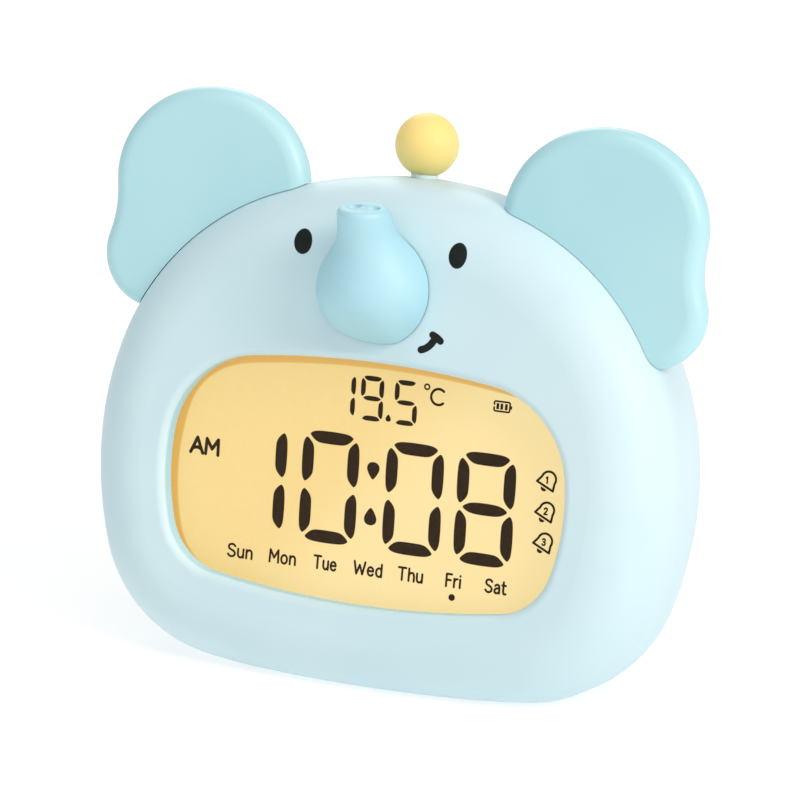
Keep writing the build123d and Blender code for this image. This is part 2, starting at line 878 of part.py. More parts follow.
def charging_socket():
    """A metal sleeve with a tongue, closed at its inner end."""
    sleeve = slab(plug_outline(0), plug_front, plug_back)
    sleeve -= slab(plug_outline(-plug_wall), plug_front + plug_wall, plug_back)
    tongue_back = plug_back - plug_half_height
    return sleeve + block(0, plug_level, plug_tongue_half_width, plug_tongue_half_height, plug_front, tongue_back)


def charge_screw_length():
    return charge_board_thickness + charge_bite_share * 2 * plug_half_height


def charge_board():
    level = charge_board_low + charge_board_thickness / 2
    half = charge_board_thickness / 2
    board = block(0, level, charge_board_half_width, half, charge_board_front, charge_board_back)
    for x in charge_places:
        board -= charge_spot(x) * extrude(Circle(screw_hole), -charge_board_thickness)
    return board


def charge_board_screws():
    return as_group(charge_spot(x) * screw(charge_screw_length() - fit_gap) for x in charge_places)


cell_place = Pos(0, cell_level, -cell_depth) * Rot(0, 90, 0)


def battery_cell():
    """A round cell lying across the clock, with its raised end."""
    can_length = cell_length - cell_cap_height
    can = extrude(Circle(cell_radius), can_length)
    can = fillet(can.edges(), cell_cap_height / 2)
    cap = Pos(0, 0, can_length) * extrude(Circle(cell_cap_radius), cell_cap_height)
    return cell_place * Pos(0, 0, -cell_length / 2) * (can + cap)


def battery_cradle():
    """An open trough on the floor of the rear shell that holds the cell."""
    length = cell_length + 2 * (fit_gap + cradle_end)
    width = 2 * (cell_radius + fit_gap + cradle_wall)
    reach = cell_level * lean_sin + cell_depth * lean_cos - face_reach
    floor = base_level + wall
    trough = upright(Pos(0, reach, floor) * extrude(Rectangle(length, width), cradle_rise))
    trough -= cell_place * Cylinder(cell_radius + fit_gap, cell_length + 2 * fit_gap)
    return trough & head_block(wall + seat_gap) & head_slice(seam_depth + tongue_root + fit_gap, head_depth)


def rubber_feet():
    places = both_sides([(foot_x, front_foot_reach), (foot_x, rear_foot_reach)])
    return as_group(upright(foot_spot(x, reach) * extrude(Circle(foot_radius), foot_thickness)) for x, reach in places)


def pieces():
    """Every piece by name, in the head's own frame."""
    right_ear = ear()
    named = {
        "front_shell": front_shell(),
        "rear_shell": rear_shell(),
        "ear_right": right_ear,
        "ear_left": mirror(right_ear, side_to_side),
        "trunk": trunk(),
        "window_lens": window_lens(),
        "lcd_panel": lcd_panel(),
        "light_guide": light_guide(),
        "lamp_strip": lamp_strip(),
        "contact_strip": contact_strip(),
        "display_holder": display_holder(),
        "main_board": main_board(),
        "clock_chip": clock_chip(),
        "quartz_crystal": quartz_crystal(),
        "temperature_sensor": temperature_sensor(),
        "wire_sockets": wire_sockets(),
        "display_screws": display_screws(),
        "case_screws": case_screws(),
        "ear_screws": ear_screws(),
        "trunk_screws": trunk_screws(),
        "ball_cap": ball_cap(),
        "ball_stem": ball_stem(),
        "ball_plunger": ball_plunger(),
        "ball_switch": ball_switch(),
        "switch_board": switch_board(),
        "switch_bracket": switch_bracket(),
        "bracket_screws": bracket_screws(),
        "key_switches": key_switches(),
        "key_board": key_board(),
        "key_board_screws": key_board_screws(),
        "speaker_basket": speaker_basket(),
        "speaker_cone": speaker_cone(),
        "speaker_magnet": speaker_magnet(),
        "charging_socket": charging_socket(),
        "charge_board": charge_board(),
        "charge_board_screws": charge_board_screws(),
        "battery_cell": battery_cell(),
        "battery_cradle": battery_cradle(),
        "rubber_feet": rubber_feet(),
    }
    for name, (x, level) in zip(("alarm", "down", "up", "set"), key_places):
        named["key_" + name] = key(x)
        named["plunger_" + name] = key_plunger(x)
    return named


if __name__ == "__main__":
    os.makedirs("parts", exist_ok=True)
    for name, piece in pieces().items():
        export_step(leaned(piece), os.path.join("parts", name + ".step"))
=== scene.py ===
from math import cos, pi, radians, sin

import bmesh
import bpy
from mathutils import Matrix, Vector
from mathutils.bvhtree import BVHTree


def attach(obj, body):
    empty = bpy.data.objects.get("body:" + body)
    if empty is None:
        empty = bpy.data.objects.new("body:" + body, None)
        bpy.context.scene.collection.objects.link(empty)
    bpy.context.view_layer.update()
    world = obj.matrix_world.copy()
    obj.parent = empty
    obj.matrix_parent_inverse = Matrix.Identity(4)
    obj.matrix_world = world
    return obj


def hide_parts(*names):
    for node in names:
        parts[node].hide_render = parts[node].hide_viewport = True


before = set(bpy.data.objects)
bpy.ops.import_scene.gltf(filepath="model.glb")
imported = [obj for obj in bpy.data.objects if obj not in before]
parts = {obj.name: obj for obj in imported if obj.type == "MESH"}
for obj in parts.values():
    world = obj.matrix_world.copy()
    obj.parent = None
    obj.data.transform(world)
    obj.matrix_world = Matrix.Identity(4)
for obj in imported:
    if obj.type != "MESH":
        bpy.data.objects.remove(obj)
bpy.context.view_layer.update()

mm = 0.001
print("frame loaded:", len(parts), "CAD pieces")

# The head leans back. Its own frame is x, level up the face and depth behind the face, in mm.
stance = {"lean": radians(11.7), "reach": 30.977}
leanSin, leanCos = sin(stance["lean"]), cos(stance["lean"])
upFace = Vector((0, leanSin, leanCos))
intoHead = Vector((0, leanCos, -leanSin))
toRight = Vector((1, 0, 0))
faceFoot = Vector((0, -stance["reach"], 0))


def onHead(x, level, depth):
    return (faceFoot + x * toRight + level * upFace + depth * intoHead) * mm


def turned(right, up, out):
    # the turn that takes x, y and z to these three
    return Matrix((right, up, out)).transposed().to_4x4()


def frontSheet(depth):
    # drawing sheet square to the face: x, level, height towards the viewer
    return Matrix.Translation(onHead(0, 0, depth)) @ turned(toRight, upFace, -intoHead) @ Matrix.Scale(mm, 4)


def backSheet(depth):
    # the same sheet seen from behind, its right-hand side at negative x
    return Matrix.Translation(onHead(0, 0, depth)) @ turned(-toRight, upFace, intoHead) @ Matrix.Scale(mm, 4)


def tone(red, green, blue):
    # screen colour, 0 to 255, as scene light
    def light(value):
        value /= 255
        return value / 12.92 if value <= 0.04045 else ((value + 0.055) / 1.055) ** 2.4
    return (light(red), light(green), light(blue), 1.0)


class Wire:
    # a value in a material, for plain sums

    def __init__(self, finish, socket):
        self.finish, self.socket = finish, socket

    def sum(self, operation, *values):
        made = self.finish.node("ShaderNodeMath", {"operation": operation}, dict(enumerate(values)))
        return Wire(self.finish, made.outputs[0])

    def __add__(self, other):
        return self.sum("ADD", self, other)

    def __radd__(self, other):
        return self.sum("ADD", other, self)

    def __sub__(self, other):
        return self.sum("SUBTRACT", self, other)

    def __rsub__(self, other):
        return self.sum("SUBTRACT", other, self)

    def __mul__(self, other):
        return self.sum("MULTIPLY", self, other)

    def __rmul__(self, other):
        return self.sum("MULTIPLY", other, self)

    def __truediv__(self, other):
        return self.sum("DIVIDE", self, other)

    def __abs__(self):
        return self.sum("ABSOLUTE", self)

    def root(self):
        return self.sum("SQRT", self)

    def wave(self):
        return self.sum("SINE", self)

    def most(self, other):
        return self.sum("MAXIMUM", self, other)

    def rise(self, low, high):
        # 0 below low, 1 above high, soft between
        made = self.finish.node("ShaderNodeMapRange", {"interpolation_type": "SMOOTHSTEP"},
                                {0: self, 1: low, 2: high})
        return Wire(self.finish, made.outputs[0])


class Finish:
    # one material and the nodes in it

    def __init__(self, name):
        self.material = bpy.data.materials.new(name)
        self.material.use_nodes = True
        self.tree = self.material.node_tree
        self.tree.nodes.clear()
        self.place = self.node("ShaderNodeTexCoord").outputs["Object"]
        split = self.node("ShaderNodeSeparateXYZ", {}, {0: self.place})
        self.x, self.y, self.z = (Wire(self, socket) for socket in split.outputs)
        # the same place in the head's own frame, in metres
        self.level = (self.y + stance["reach"] * mm) * leanSin + self.z * leanCos
        self.depth = (self.y + stance["reach"] * mm) * leanCos - self.z * leanSin

    def node(self, kind, settings=None, sockets=None):
        made = self.tree.nodes.new(kind)
        for key, value in (settings or {}).items():
            setattr(made, key, value)
        for key, value in (sockets or {}).items():
            self.plug(made.inputs[key], value)
        return made

    def plug(self, socket, value):
        if isinstance(value, Wire):
            value = value.socket
        if isinstance(value, bpy.types.NodeSocket):
            self.tree.links.new(value, socket)
        else:
            socket.default_value = value

    def grain(self, scale, detail=2.0, stretch=None):
        place = self.place
        if stretch:
            place = self.node("ShaderNodeMapping", {}, {"Vector": place, "Scale": stretch}).outputs[0]
        made = self.node("ShaderNodeTexNoise", {}, {"Vector": place, "Scale": scale, "Detail": detail})
        return Wire(self, made.outputs[0])

    def cells(self, scale):
        made = self.node("ShaderNodeTexVoronoi", {}, {"Vector": self.place, "Scale": scale})
        return Wire(self, made.outputs["Distance"])

    def blend(self, factor, first, second):
        made = self.node("ShaderNodeMix", {"data_type": "RGBA"}, {0: factor, 6: first, 7: second})
        return made.outputs[2]

    def windowEdge(self, look, shiftX=0.0, shiftLevel=0.0):
        # distance outside the window's pillow outline, negative inside it
        across = abs(self.x - shiftX * mm)
        along = abs(self.level - (look["level"] + shiftLevel) * mm)
        end, cap, soft = (look[key] * mm for key in ("endRadius", "capRadius", "cornerBlend"))
        reach, climb = across + (end - look["halfWidth"] * mm), along + (cap - look["halfHeight"] * mm)
        outX = (reach * reach + along * along).root() - end
        outY = (across * across + climb * climb).root() - cap
        both = (soft - abs(outX - outY)).most(0.0)
        return outX.most(outY) + both * both / (4 * soft)

    def bump(self, height, strength, distance):
        sockets = {"Height": height, "Strength": strength, "Distance": distance}
        return self.node("ShaderNodeBump", {}, sockets).outputs[0]

    def shade(self, sockets):
        shader = self.node("ShaderNodeBsdfPrincipled", {}, sockets)
        self.node("ShaderNodeOutputMaterial", {}, {"Surface": shader.outputs[0]})
        return self.material


def wear(finish, *names):
    # put a finish on CAD pieces
    for name in names:
        mesh = parts[name].data
        if not mesh.materials:
            mesh.materials.append(finish)
        for slot in range(len(mesh.materials)):
            mesh.materials[slot] = finish


windowShape = {"halfWidth": 41.7, "halfHeight": 23.7, "level": 41.5, "endRadius": 46.0, "capRadius": 190.0,
               "cornerBlend": 7.4, "wallDepths": (0.9, 1.5), "lipEnds": (0.3, 0.8)}


def paintedWindowWallShade(finish):
    # painted shade on the steep wall inside the window's lip, a deeper tint where the recess lies in shade
    wall = finish.depth.rise(*(depth * mm for depth in windowShape["wallDepths"]))
    return wall * (1 - finish.windowEdge(windowShape).rise(*(out * mm for out in windowShape["lipEnds"])))


rootShadeDepths = {"from": -0.5, "to": -0.35}


def paintedRootShade(finish):
    # painted shade at the last edge of the trunk, where it meets the face
    return finish.depth.rise(rootShadeDepths["from"] * mm, rootShadeDepths["to"] * mm)


noiseMean = 0.5  # what a noise comes to on average


def mouldedPlastic(name, look, shadow=None):
    # satin moulding: faint clouding in the colour, spark-eroded grain in the gloss
    finish = Finish(name)
    cloud = finish.grain(look["cloudScale"], look["cloudDetail"])
    speck = finish.grain(look["grainScale"])
    rough = look["roughness"] + look["glossSwing"] * (speck - noiseMean)
    colour = finish.blend(cloud.rise(*look["cloudEnds"]), look["tint"], look["deep"])
    # where a painted shade mask is given, the colour darkens towards the crease tint
    if shadow:
        colour = finish.blend(shadow(finish), colour, look["crease"])
    return finish.shade({
        "Base Color": colour,
        "Roughness": rough,
        "Specular IOR Level": look["shine"],
        "Subsurface Weight": look["milk"],
        "Subsurface Radius": look["tint"][:3],
        "Subsurface Scale": look["milkDepth"],
        "Normal": finish.bump(speck, look["grainStrength"], look["grainHeight"]),
    })


satin = {"cloudScale": 26.0, "cloudDetail": 3.0, "cloudEnds": (0.3, 0.7), "grainScale": 2600.0,
         "grainStrength": 0.12, "grainHeight": 0.00004, "roughness": 0.46, "glossSwing": 0.1, "shine": 0.36,
         "milk": 0.0, "milkDepth": 0.004}
# crease here is the painted shade tint for the window's inner wall
bodyLook = dict(satin, tint=tone(206, 231, 237), deep=tone(199, 227, 234), crease=tone(168, 214, 236))
earLook = dict(satin, tint=tone(180, 225, 232), deep=tone(173, 221, 229), roughness=0.4, shine=0.6)
# crease here is the painted shade tint where the trunk meets the face
trunkLook = dict(satin, tint=tone(170, 219, 231), deep=tone(163, 215, 228), roughness=0.56, shine=1.0,
                 crease=tone(64, 142, 156))
ballLook = dict(satin, tint=tone(254, 224, 144), deep=tone(252, 218, 134), roughness=0.48, shine=0.5,
                milk=0.7)
# the stem is a lighter, bluer copy of the body plastic, painted brighter to make up for the ball's shade and its
# yellow bounce
paintedLightStemLook = dict(satin, tint=tone(226, 247, 253), deep=tone(219, 243, 250), roughness=0.4)
keyLook = dict(satin, tint=tone(238, 243, 244), deep=tone(231, 238, 240), roughness=0.5)
holderLook = dict(satin, tint=tone(238, 238, 232), deep=tone(230, 230, 223), roughness=0.55)
socketLook = dict(satin, tint=tone(238, 232, 212), deep=tone(229, 222, 200), roughness=0.5)
chipLook = dict(satin, tint=tone(40, 40, 42), deep=tone(30, 30, 33), roughness=0.6, grainStrength=0.3)

trunkPlastic = mouldedPlastic("trunkPlastic", trunkLook, paintedRootShade)
wear(mouldedPlastic("facePlastic", bodyLook, paintedWindowWallShade), "front_shell")
wear(mouldedPlastic("bodyPlastic", bodyLook), "rear_shell")
wear(mouldedPlastic("earPlastic", earLook), "ear_right", "ear_left")
wear(trunkPlastic, "trunk")
wear(mouldedPlastic("ballPlastic", ballLook), "ball_cap")
wear(mouldedPlastic("stemPlasticPaintedLight", paintedLightStemLook), "ball_stem")
wear(mouldedPlastic("keyPlastic", keyLook), "key_alarm", "key_down", "key_up", "key_set")
wear(mouldedPlastic("holderPlastic", holderLook), "display_holder", "battery_cradle", "switch_bracket")
wear(mouldedPlastic("socketPlastic", socketLook), "wire_sockets", "plunger_alarm", "plunger_down",
     "plunger_up", "plunger_set", "ball_plunger")
wear(mouldedPlastic("chipPlastic", chipLook), "clock_chip", "temperature_sensor", "key_switches",
     "ball_switch")
print("moulded plastics done")


def displayGlass(look):
    # lit amber glass, with painted shade along the window's top and left edges and a painted sheen, darker
    # towards the upper left and lighter towards the lower right
    finish = Finish("displayAmber")
    # painted shadow: the window's outline, shifted down and right, darkens the glass towards the shade colour
    # along its top and left edges
    edge = finish.windowEdge(windowShape, look["shiftX"], look["shiftLevel"])
    shadow = edge.rise(-look["softness"] * mm, look["softness"] * mm)
    # painted sheen: the glass is painted darker towards the upper left and lighter towards the lower right
    paintedSheen = (finish.x * look["paintedSheen"][0] - finish.level * look["paintedSheen"][1]).rise(*look["paintedSheenEnds"])
    mottle = finish.grain(look["mottleScale"]).rise(*look["mottleEnds"]) * look["mottle"]

    def layer(share):
        # the glass colour at a share of its strength
        dim, lit, shade = ([share * value for value in look[key][:3]] + [1.0]
                           for key in ("dim", "lit", "shade"))
        glow = finish.blend(paintedSheen, dim, lit)
        return finish.blend(shadow, finish.blend(mottle, glow, lit), shade)
    return finish.shade({
        "Base Color": layer(1 - look["glow"]),
        "Roughness": look["roughness"] + look["glossSwing"] * finish.grain(look["glossScale"]),
        "Emission Color": layer(1.0),
        "Emission Strength": look["glow"],
    })


displayLook = {
    # shift and softness place the painted shade band, the sheen keys place the painted diagonal sheen; shade,
    # dim and lit are their colours
    "shiftX": 0.75, "shiftLevel": -1.6, "softness": 0.25, "glow": 0.7,
    "paintedSheen": (0.785, 0.619), "paintedSheenEnds": (-0.036, -0.016),
    "mottleScale": 900.0, "mottleEnds": (0.35, 0.75), "mottle": 0.14,
    "roughness": 0.3, "glossSwing": 0.12, "glossScale": 1400.0,
    "lit": tone(255, 229, 163), "dim": tone(248, 217, 142), "shade": tone(232, 181, 90),
}
wear(displayGlass(displayLook), "lcd_panel")


def clearWindow(name, look):
    # clear moulding: more or less see-through, with a trace of haze
    finish = Finish(name)
    haze = finish.grain(look["hazeScale"], look["hazeDetail"])
    return finish.shade({
        "Base Color": finish.blend(haze, look["tint"], look["deep"]),
        "Roughness": look["roughness"] + look["glossSwing"] * haze,
        "Alpha": look["veil"] * (look["veilLow"] + look["veilSwing"] * haze),
        "IOR": look["ior"],
    })


lensLook = {"tint": tone(250, 252, 250), "deep": tone(243, 247, 246), "hazeScale": 60.0, "hazeDetail": 3.0,
            "roughness": 0.08, "glossSwing": 0.06, "veil": 0.006, "veilLow": 0.8, "veilSwing": 0.4, "ior": 1.49}
guideLook = dict(lensLook, tint=tone(246, 243, 228), deep=tone(236, 232, 214), hazeScale=90.0, veil=0.45)
wear(clearWindow("windowClear", lensLook), "window_lens")
wear(clearWindow("guideClear", guideLook), "light_guide")


def platedSteel(name, look):
    # rolled or turned metal with fine drawn lines
    finish = Finish(name)
    lines = finish.grain(look["lineScale"], stretch=look["stretch"])
    stain = finish.grain(look["stainScale"], look["stainDetail"])
    return finish.shade({
        "Base Color": finish.blend(stain.rise(*look["stainEnds"]), look["tint"], look["deep"]),
        "Metallic": look["metal"],
        "Roughness": look["roughness"] + look["lineSwing"] * (lines - noiseMean),
        "Normal": finish.bump(lines, look["lineStrength"], look["lineHeight"]),
    })


steelLook = {"tint": tone(206, 208, 211), "deep": tone(186, 189, 194), "metal": 1.0, "roughness": 0.3,
             "lineScale": 2200.0, "stretch": (1.0, 0.2, 1.0), "lineSwing": 0.16, "lineStrength": 0.15,
             "lineHeight": 0.00003, "stainScale": 240.0, "stainDetail": 3.0, "stainEnds": (0.35, 0.7)}
basketLook = dict(steelLook, tint=tone(62, 63, 66), deep=tone(50, 51, 54), metal=0.35, roughness=0.48,
                  lineStrength=0.1)
magnetLook = dict(steelLook, tint=tone(74, 75, 78), deep=tone(58, 58, 62), metal=0.6, roughness=0.55,
                  stretch=(1.0, 1.0, 1.0))
sleeveLook = dict(steelLook, tint=tone(58, 120, 186), deep=tone(47, 106, 170), metal=0.15, roughness=0.34,
                  stretch=(0.15, 1.0, 1.0), lineStrength=0.06)
steelFinish = platedSteel("platedSteel", steelLook)
wear(steelFinish, "display_screws", "case_screws", "ear_screws", "trunk_screws", "bracket_screws",
     "key_board_screws", "charge_board_screws", "quartz_crystal")
wear(platedSteel("basketSteel", basketLook), "speaker_basket")
wear(platedSteel("magnetSteel", magnetLook), "speaker_magnet")
wear(platedSteel("cellSleeve", sleeveLook), "battery_cell")


def plugSteel(look):
    # plated shell of the charging socket, with its dark tongue inside
    finish = Finish("plugSteel")

    def within(distance, half):
        return 1 - distance.rise(half * mm, (half + look["edge"]) * mm)
    height = abs(finish.level - look["level"] * mm)
    inner = within(height, look["tongueHeight"]) * within(abs(finish.x), look["tongueWidth"])
    lines = finish.grain(look["lineScale"], stretch=look["stretch"])
    return finish.shade({
        "Base Color": finish.blend(inner, look["tint"], look["tongue"]),
        "Metallic": 1 - inner,
        "Roughness": look["roughness"] + look["lineSwing"] * lines + look["tongueDull"] * inner,
        "Normal": finish.bump(lines, look["lineStrength"], look["lineHeight"]),
    })


plugLook = {"level": 29.0, "tongueHeight": 0.36, "tongueWidth": 3.3, "edge": 0.1, "tint": tone(203, 206, 210),
            "tongue": tone(38, 38, 40), "roughness": 0.26, "tongueDull": 0.25, "lineScale": 1800.0,
            "stretch": (0.3, 1.0, 1.0), "lineSwing": 0.12, "lineStrength": 0.1, "lineHeight": 0.00003}
wear(plugSteel(plugLook), "charging_socket")


def circuitBoard(look):
    # lacquered board: copper lanes under the green, weave of the glass cloth in the gloss
    finish = Finish("boardGreen")
    bend = look["laneBend"] * finish.grain(look["bendScale"])
    lanes = (finish.x * look["laneRate"] + bend).wave().rise(*look["laneEnds"])
    weave = (finish.x * look["weaveRate"]).wave() * (finish.level * look["weaveRate"]).wave()
    return finish.shade({
        "Base Color": finish.blend(lanes, look["tint"], look["lane"]),
        "Roughness": look["roughness"] + look["weaveSwing"] * weave,
        "Normal": finish.bump(lanes + look["weaveShare"] * weave, look["laneStrength"], look["laneHeight"]),
    })


boardLook = {"tint": tone(24, 96, 58), "lane": tone(44, 124, 74), "laneRate": 2400.0, "laneBend": 2.4,
             "bendScale": 160.0, "laneEnds": (0.72, 0.86), "laneStrength": 0.2, "laneHeight": 0.00005,
             "weaveRate": 5200.0, "weaveSwing": 0.05, "weaveShare": 0.12, "roughness": 0.34}
wear(circuitBoard(boardLook), "main_board", "switch_board", "key_board", "charge_board")


def softRubber(name, look):
    # rubber: dull, with a fine pebbled skin
    finish = Finish(name)
    pebble = finish.cells(look["pebbleScale"])
    dust = finish.grain(look["dustScale"], look["dustDetail"])
    return finish.shade({
        "Base Color": finish.blend(dust.rise(*look["dustEnds"]), look["tint"], look["deep"]),
        "Roughness": look["roughness"] + look["dustSwing"] * dust,
        "Normal": finish.bump(pebble, look["pebbleStrength"], look["pebbleHeight"]),
    })


footLook = {"tint": tone(214, 219, 221), "deep": tone(196, 203, 206), "roughness": 0.7,
            "pebbleScale": 1500.0, "pebbleStrength": 0.35, "pebbleHeight": 0.00008,
            "dustScale": 420.0, "dustDetail": 4.0, "dustEnds": (0.4, 0.75), "dustSwing": 0.1}
stripLook = dict(footLook, tint=tone(120, 116, 126), deep=tone(98, 94, 104), pebbleScale=2400.0)
coneLook = dict(footLook, tint=tone(44, 42, 41), deep=tone(30, 29, 29), roughness=0.8, pebbleScale=900.0,
                pebbleStrength=0.5, dustScale=700.0)
lampLook = dict(footLook, tint=tone(250, 238, 190), deep=tone(244, 228, 170), roughness=0.4,
                pebbleStrength=0.05)
wear(softRubber("footRubber", footLook), "rubber_feet")
wear(softRubber("stripRubber", stripLook), "contact_strip")
wear(softRubber("conePaper", coneLook), "speaker_cone")
wear(softRubber("lampStrip", lampLook), "lamp_strip")
print("metals, boards and rubbers done")


def inkFinish(name, look):
    # printed ink or liquid crystal: nearly black, thinner here and there
    finish = Finish(name)
    thin = finish.grain(look["scale"], look["detail"])
    return finish.shade({
        "Base Color": finish.blend(thin.rise(*look["thinEnds"]), look["tint"], look["thin"]),
        "Roughness": look["roughness"] + look["glossSwing"] * (thin - noiseMean),
        "Specular IOR Level": look["shine"],
        "Normal": finish.bump(thin, look["strength"], look["height"]),
    })


eyePrint = {"tint": tone(16, 25, 22), "thin": tone(22, 31, 27), "scale": 900.0, "detail": 3.0, "roughness": 0.34,
            "shine": 0.25, "thinEnds": (0.35, 0.8), "glossSwing": 0.1, "strength": 0.08, "height": 0.00002}
crystalPrint = dict(eyePrint, tint=tone(46, 31, 14), thin=tone(52, 37, 19), scale=1200.0, roughness=0.45,
                    shine=0.03)
keyPrint = dict(eyePrint, tint=tone(108, 140, 152), thin=tone(120, 151, 162), scale=1500.0, roughness=0.5,
                shine=0.4)
eyeInk = inkFinish("eyeInk", eyePrint)
crystalInk = inkFinish("crystalInk", crystalPrint)
keyInk = inkFinish("keyInk", keyPrint)


def linked(name, data):
    made = bpy.data.objects.new(name, data)
    bpy.context.scene.collection.objects.link(made)
    return made


def addPiece(name, mesh, finish, body="case"):
    mesh.name = name
    mesh.materials.clear()
    mesh.materials.append(finish)
    piece = linked(name, mesh)
    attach(piece, body)
    return piece


def plainMesh(name, mesh):
    # what has been built, as a mesh for an object
    made = bpy.data.meshes.new(name)
    mesh.to_mesh(made)
    mesh.free()
    return made


def joinRings(mesh, low, high):
    for n in range(len(low)):
        m = (n + 1) % len(low)
        mesh.faces.new((low[n], low[m], high[m], high[n]))


def smoothed(points, closed=False, steps=6):
    # a soft line through the given points
    count = len(points)
    if count < 3 and not closed:
        return points
    line = []
    for n in range(count if closed else count - 1):
        if closed:
            a, b, c, d = (Vector(points[(n + k) % count]) for k in (-1, 0, 1, 2))
        else:
            a, b, c, d = (Vector(points[min(max(n + k, 0), count - 1)]) for k in (-1, 0, 1, 2))
        for k in range(steps):
            t = k / steps
            line.append(0.5 * (2 * b + (c - a) * t + (2 * a - 5 * b + 4 * c - d) * t**2
                               + (3 * b - a - 3 * c + d) * t**3))
    if not closed:
        line.append(Vector(points[-1]))
    return line


def arc(x, y, radius, start, end, count):
    turns = [radians(start + (end - start) * n / (count - 1)) for n in range(count)]
    return [(x + radius * cos(turn), y + radius * sin(turn)) for turn in turns]


def addPrism(mesh, outline, height):
    # a flat shape of closed outline, standing on its sheet
    low = [mesh.verts.new((p[0], p[1], 0.0)) for p in outline]
    high = [mesh.verts.new((p[0], p[1], height)) for p in outline]
    mesh.faces.new(high)
    mesh.faces.new(reversed(low))
    joinRings(mesh, low, high)


def shapesMesh(outlines, height, sheet):
    mesh = bmesh.new()
    for outline in outlines:
        addPrism(mesh, outline, height)
    bmesh.ops.recalc_face_normals(mesh, faces=mesh.faces)
    made = plainMesh("shapes", mesh)
    made.transform(sheet)
    return made


def geometryTree(name, inputs):
    # a new tree with named inputs, and the call that adds nodes to it
    tree = bpy.data.node_groups.new(name, "GeometryNodeTree")
    for label, kind in inputs:
        tree.interface.new_socket(label, in_out="INPUT", socket_type=kind)
    tree.interface.new_socket("Geometry", in_out="OUTPUT", socket_type="NodeSocketGeometry")

    def add(kind, settings=None, sockets=None):
        made = tree.nodes.new(kind)
        for key, value in (settings or {}).items():
            setattr(made, key, value)
        for key, value in (sockets or {}).items():
            if isinstance(value, bpy.types.NodeSocket):
                tree.links.new(value, made.inputs[key])
            else:
                made.inputs[key].default_value = value
        return made
    return tree, add


# Pen strokes: a flattened round line with round ends
pen = {"nibSides": 10, "knobRounds": 2}


def penTree():
    tree, add = geometryTree("penStrokes", [
        ("Geometry", "NodeSocketGeometry"), ("Pen Width", "NodeSocketFloat"),
        ("Ink Height", "NodeSocketFloat"), ("Ink", "NodeSocketMaterial")])
    given = add("NodeGroupInput").outputs
    radius = add("ShaderNodeMath", {"operation": "MULTIPLY"}, {0: given["Pen Width"], 1: 0.5}).outputs[0]
    flat = add("ShaderNodeMath", {"operation": "DIVIDE"},
               {0: given["Ink Height"], 1: given["Pen Width"]}).outputs[0]
    lines = add("GeometryNodeMeshToCurve", {}, {"Mesh": given["Geometry"]}).outputs[0]
    nib = add("GeometryNodeCurvePrimitiveCircle", {"mode": "RADIUS"},
              {"Resolution": pen["nibSides"], "Radius": radius}).outputs[0]
    stroke = add("GeometryNodeCurveToMesh", {},
                 {"Curve": lines, "Profile Curve": nib, "Fill Caps": True}).outputs[0]
    ends = add("GeometryNodeCurveEndpointSelection", {}, {"Start Size": 1, "End Size": 1}).outputs[0]
    knob = add("GeometryNodeMeshIcoSphere", {},
               {"Radius": radius, "Subdivisions": pen["knobRounds"]}).outputs[0]
    knobs = add("GeometryNodeInstanceOnPoints", {},
                {"Points": lines, "Selection": ends, "Instance": knob}).outputs[0]
    both = add("GeometryNodeJoinGeometry")
    tree.links.new(stroke, both.inputs[0])
    tree.links.new(knobs, both.inputs[0])
    squeeze = add("ShaderNodeCombineXYZ", {}, {0: 1.0, 1: 1.0, 2: flat}).outputs[0]
    pressed = add("GeometryNodeTransform", {}, {"Geometry": both.outputs[0], "Scale": squeeze}).outputs[0]
    solid = add("GeometryNodeRealizeInstances", {}, {0: pressed}).outputs[0]
    inked = add("GeometryNodeSetMaterial", {}, {"Geometry": solid, "Material": given["Ink"]}).outputs[0]
    add("NodeGroupOutput", {}, {0: inked})
    return tree


def grown(name, host, tree, values):
    # run a tree on a host mesh and keep the plain mesh that it makes
    holder = linked(name, host)
    modifier = holder.modifiers.new(name, "NODES")
    modifier.node_group = tree
    for item in tree.interface.items_tree:
        if item.in_out == "INPUT" and item.name in values:
            modifier[item.identifier] = values[item.name]
    graph = bpy.context.evaluated_depsgraph_get()
    made = bpy.data.meshes.new_from_object(holder.evaluated_get(graph))
    holder.modifiers.remove(modifier)
    bpy.data.objects.remove(holder)
    return made


penStrokes = penTree()


def strokesMesh(strokes, width, height, ink, sheet):
    # strokes are (points, closed) on the sheet, in mm
    points, edges = [], []
    for line, closed in strokes:
        first = len(points)
        points += [(p[0], p[1], height / 2) for p in line]
        edges += [(n, n + 1) for n in range(first, len(points) - 1)]
        if closed:
            edges.append((len(points) - 1, first))
    host = bpy.data.meshes.new("strokes")
    host.from_pydata(points, edges, [])
    made = grown("strokes", host, penStrokes, {"Pen Width": width, "Ink Height": height, "Ink": ink})
    made.transform(Matrix.Translation((0, 0, height / 2)))
    made.transform(sheet)
    return made


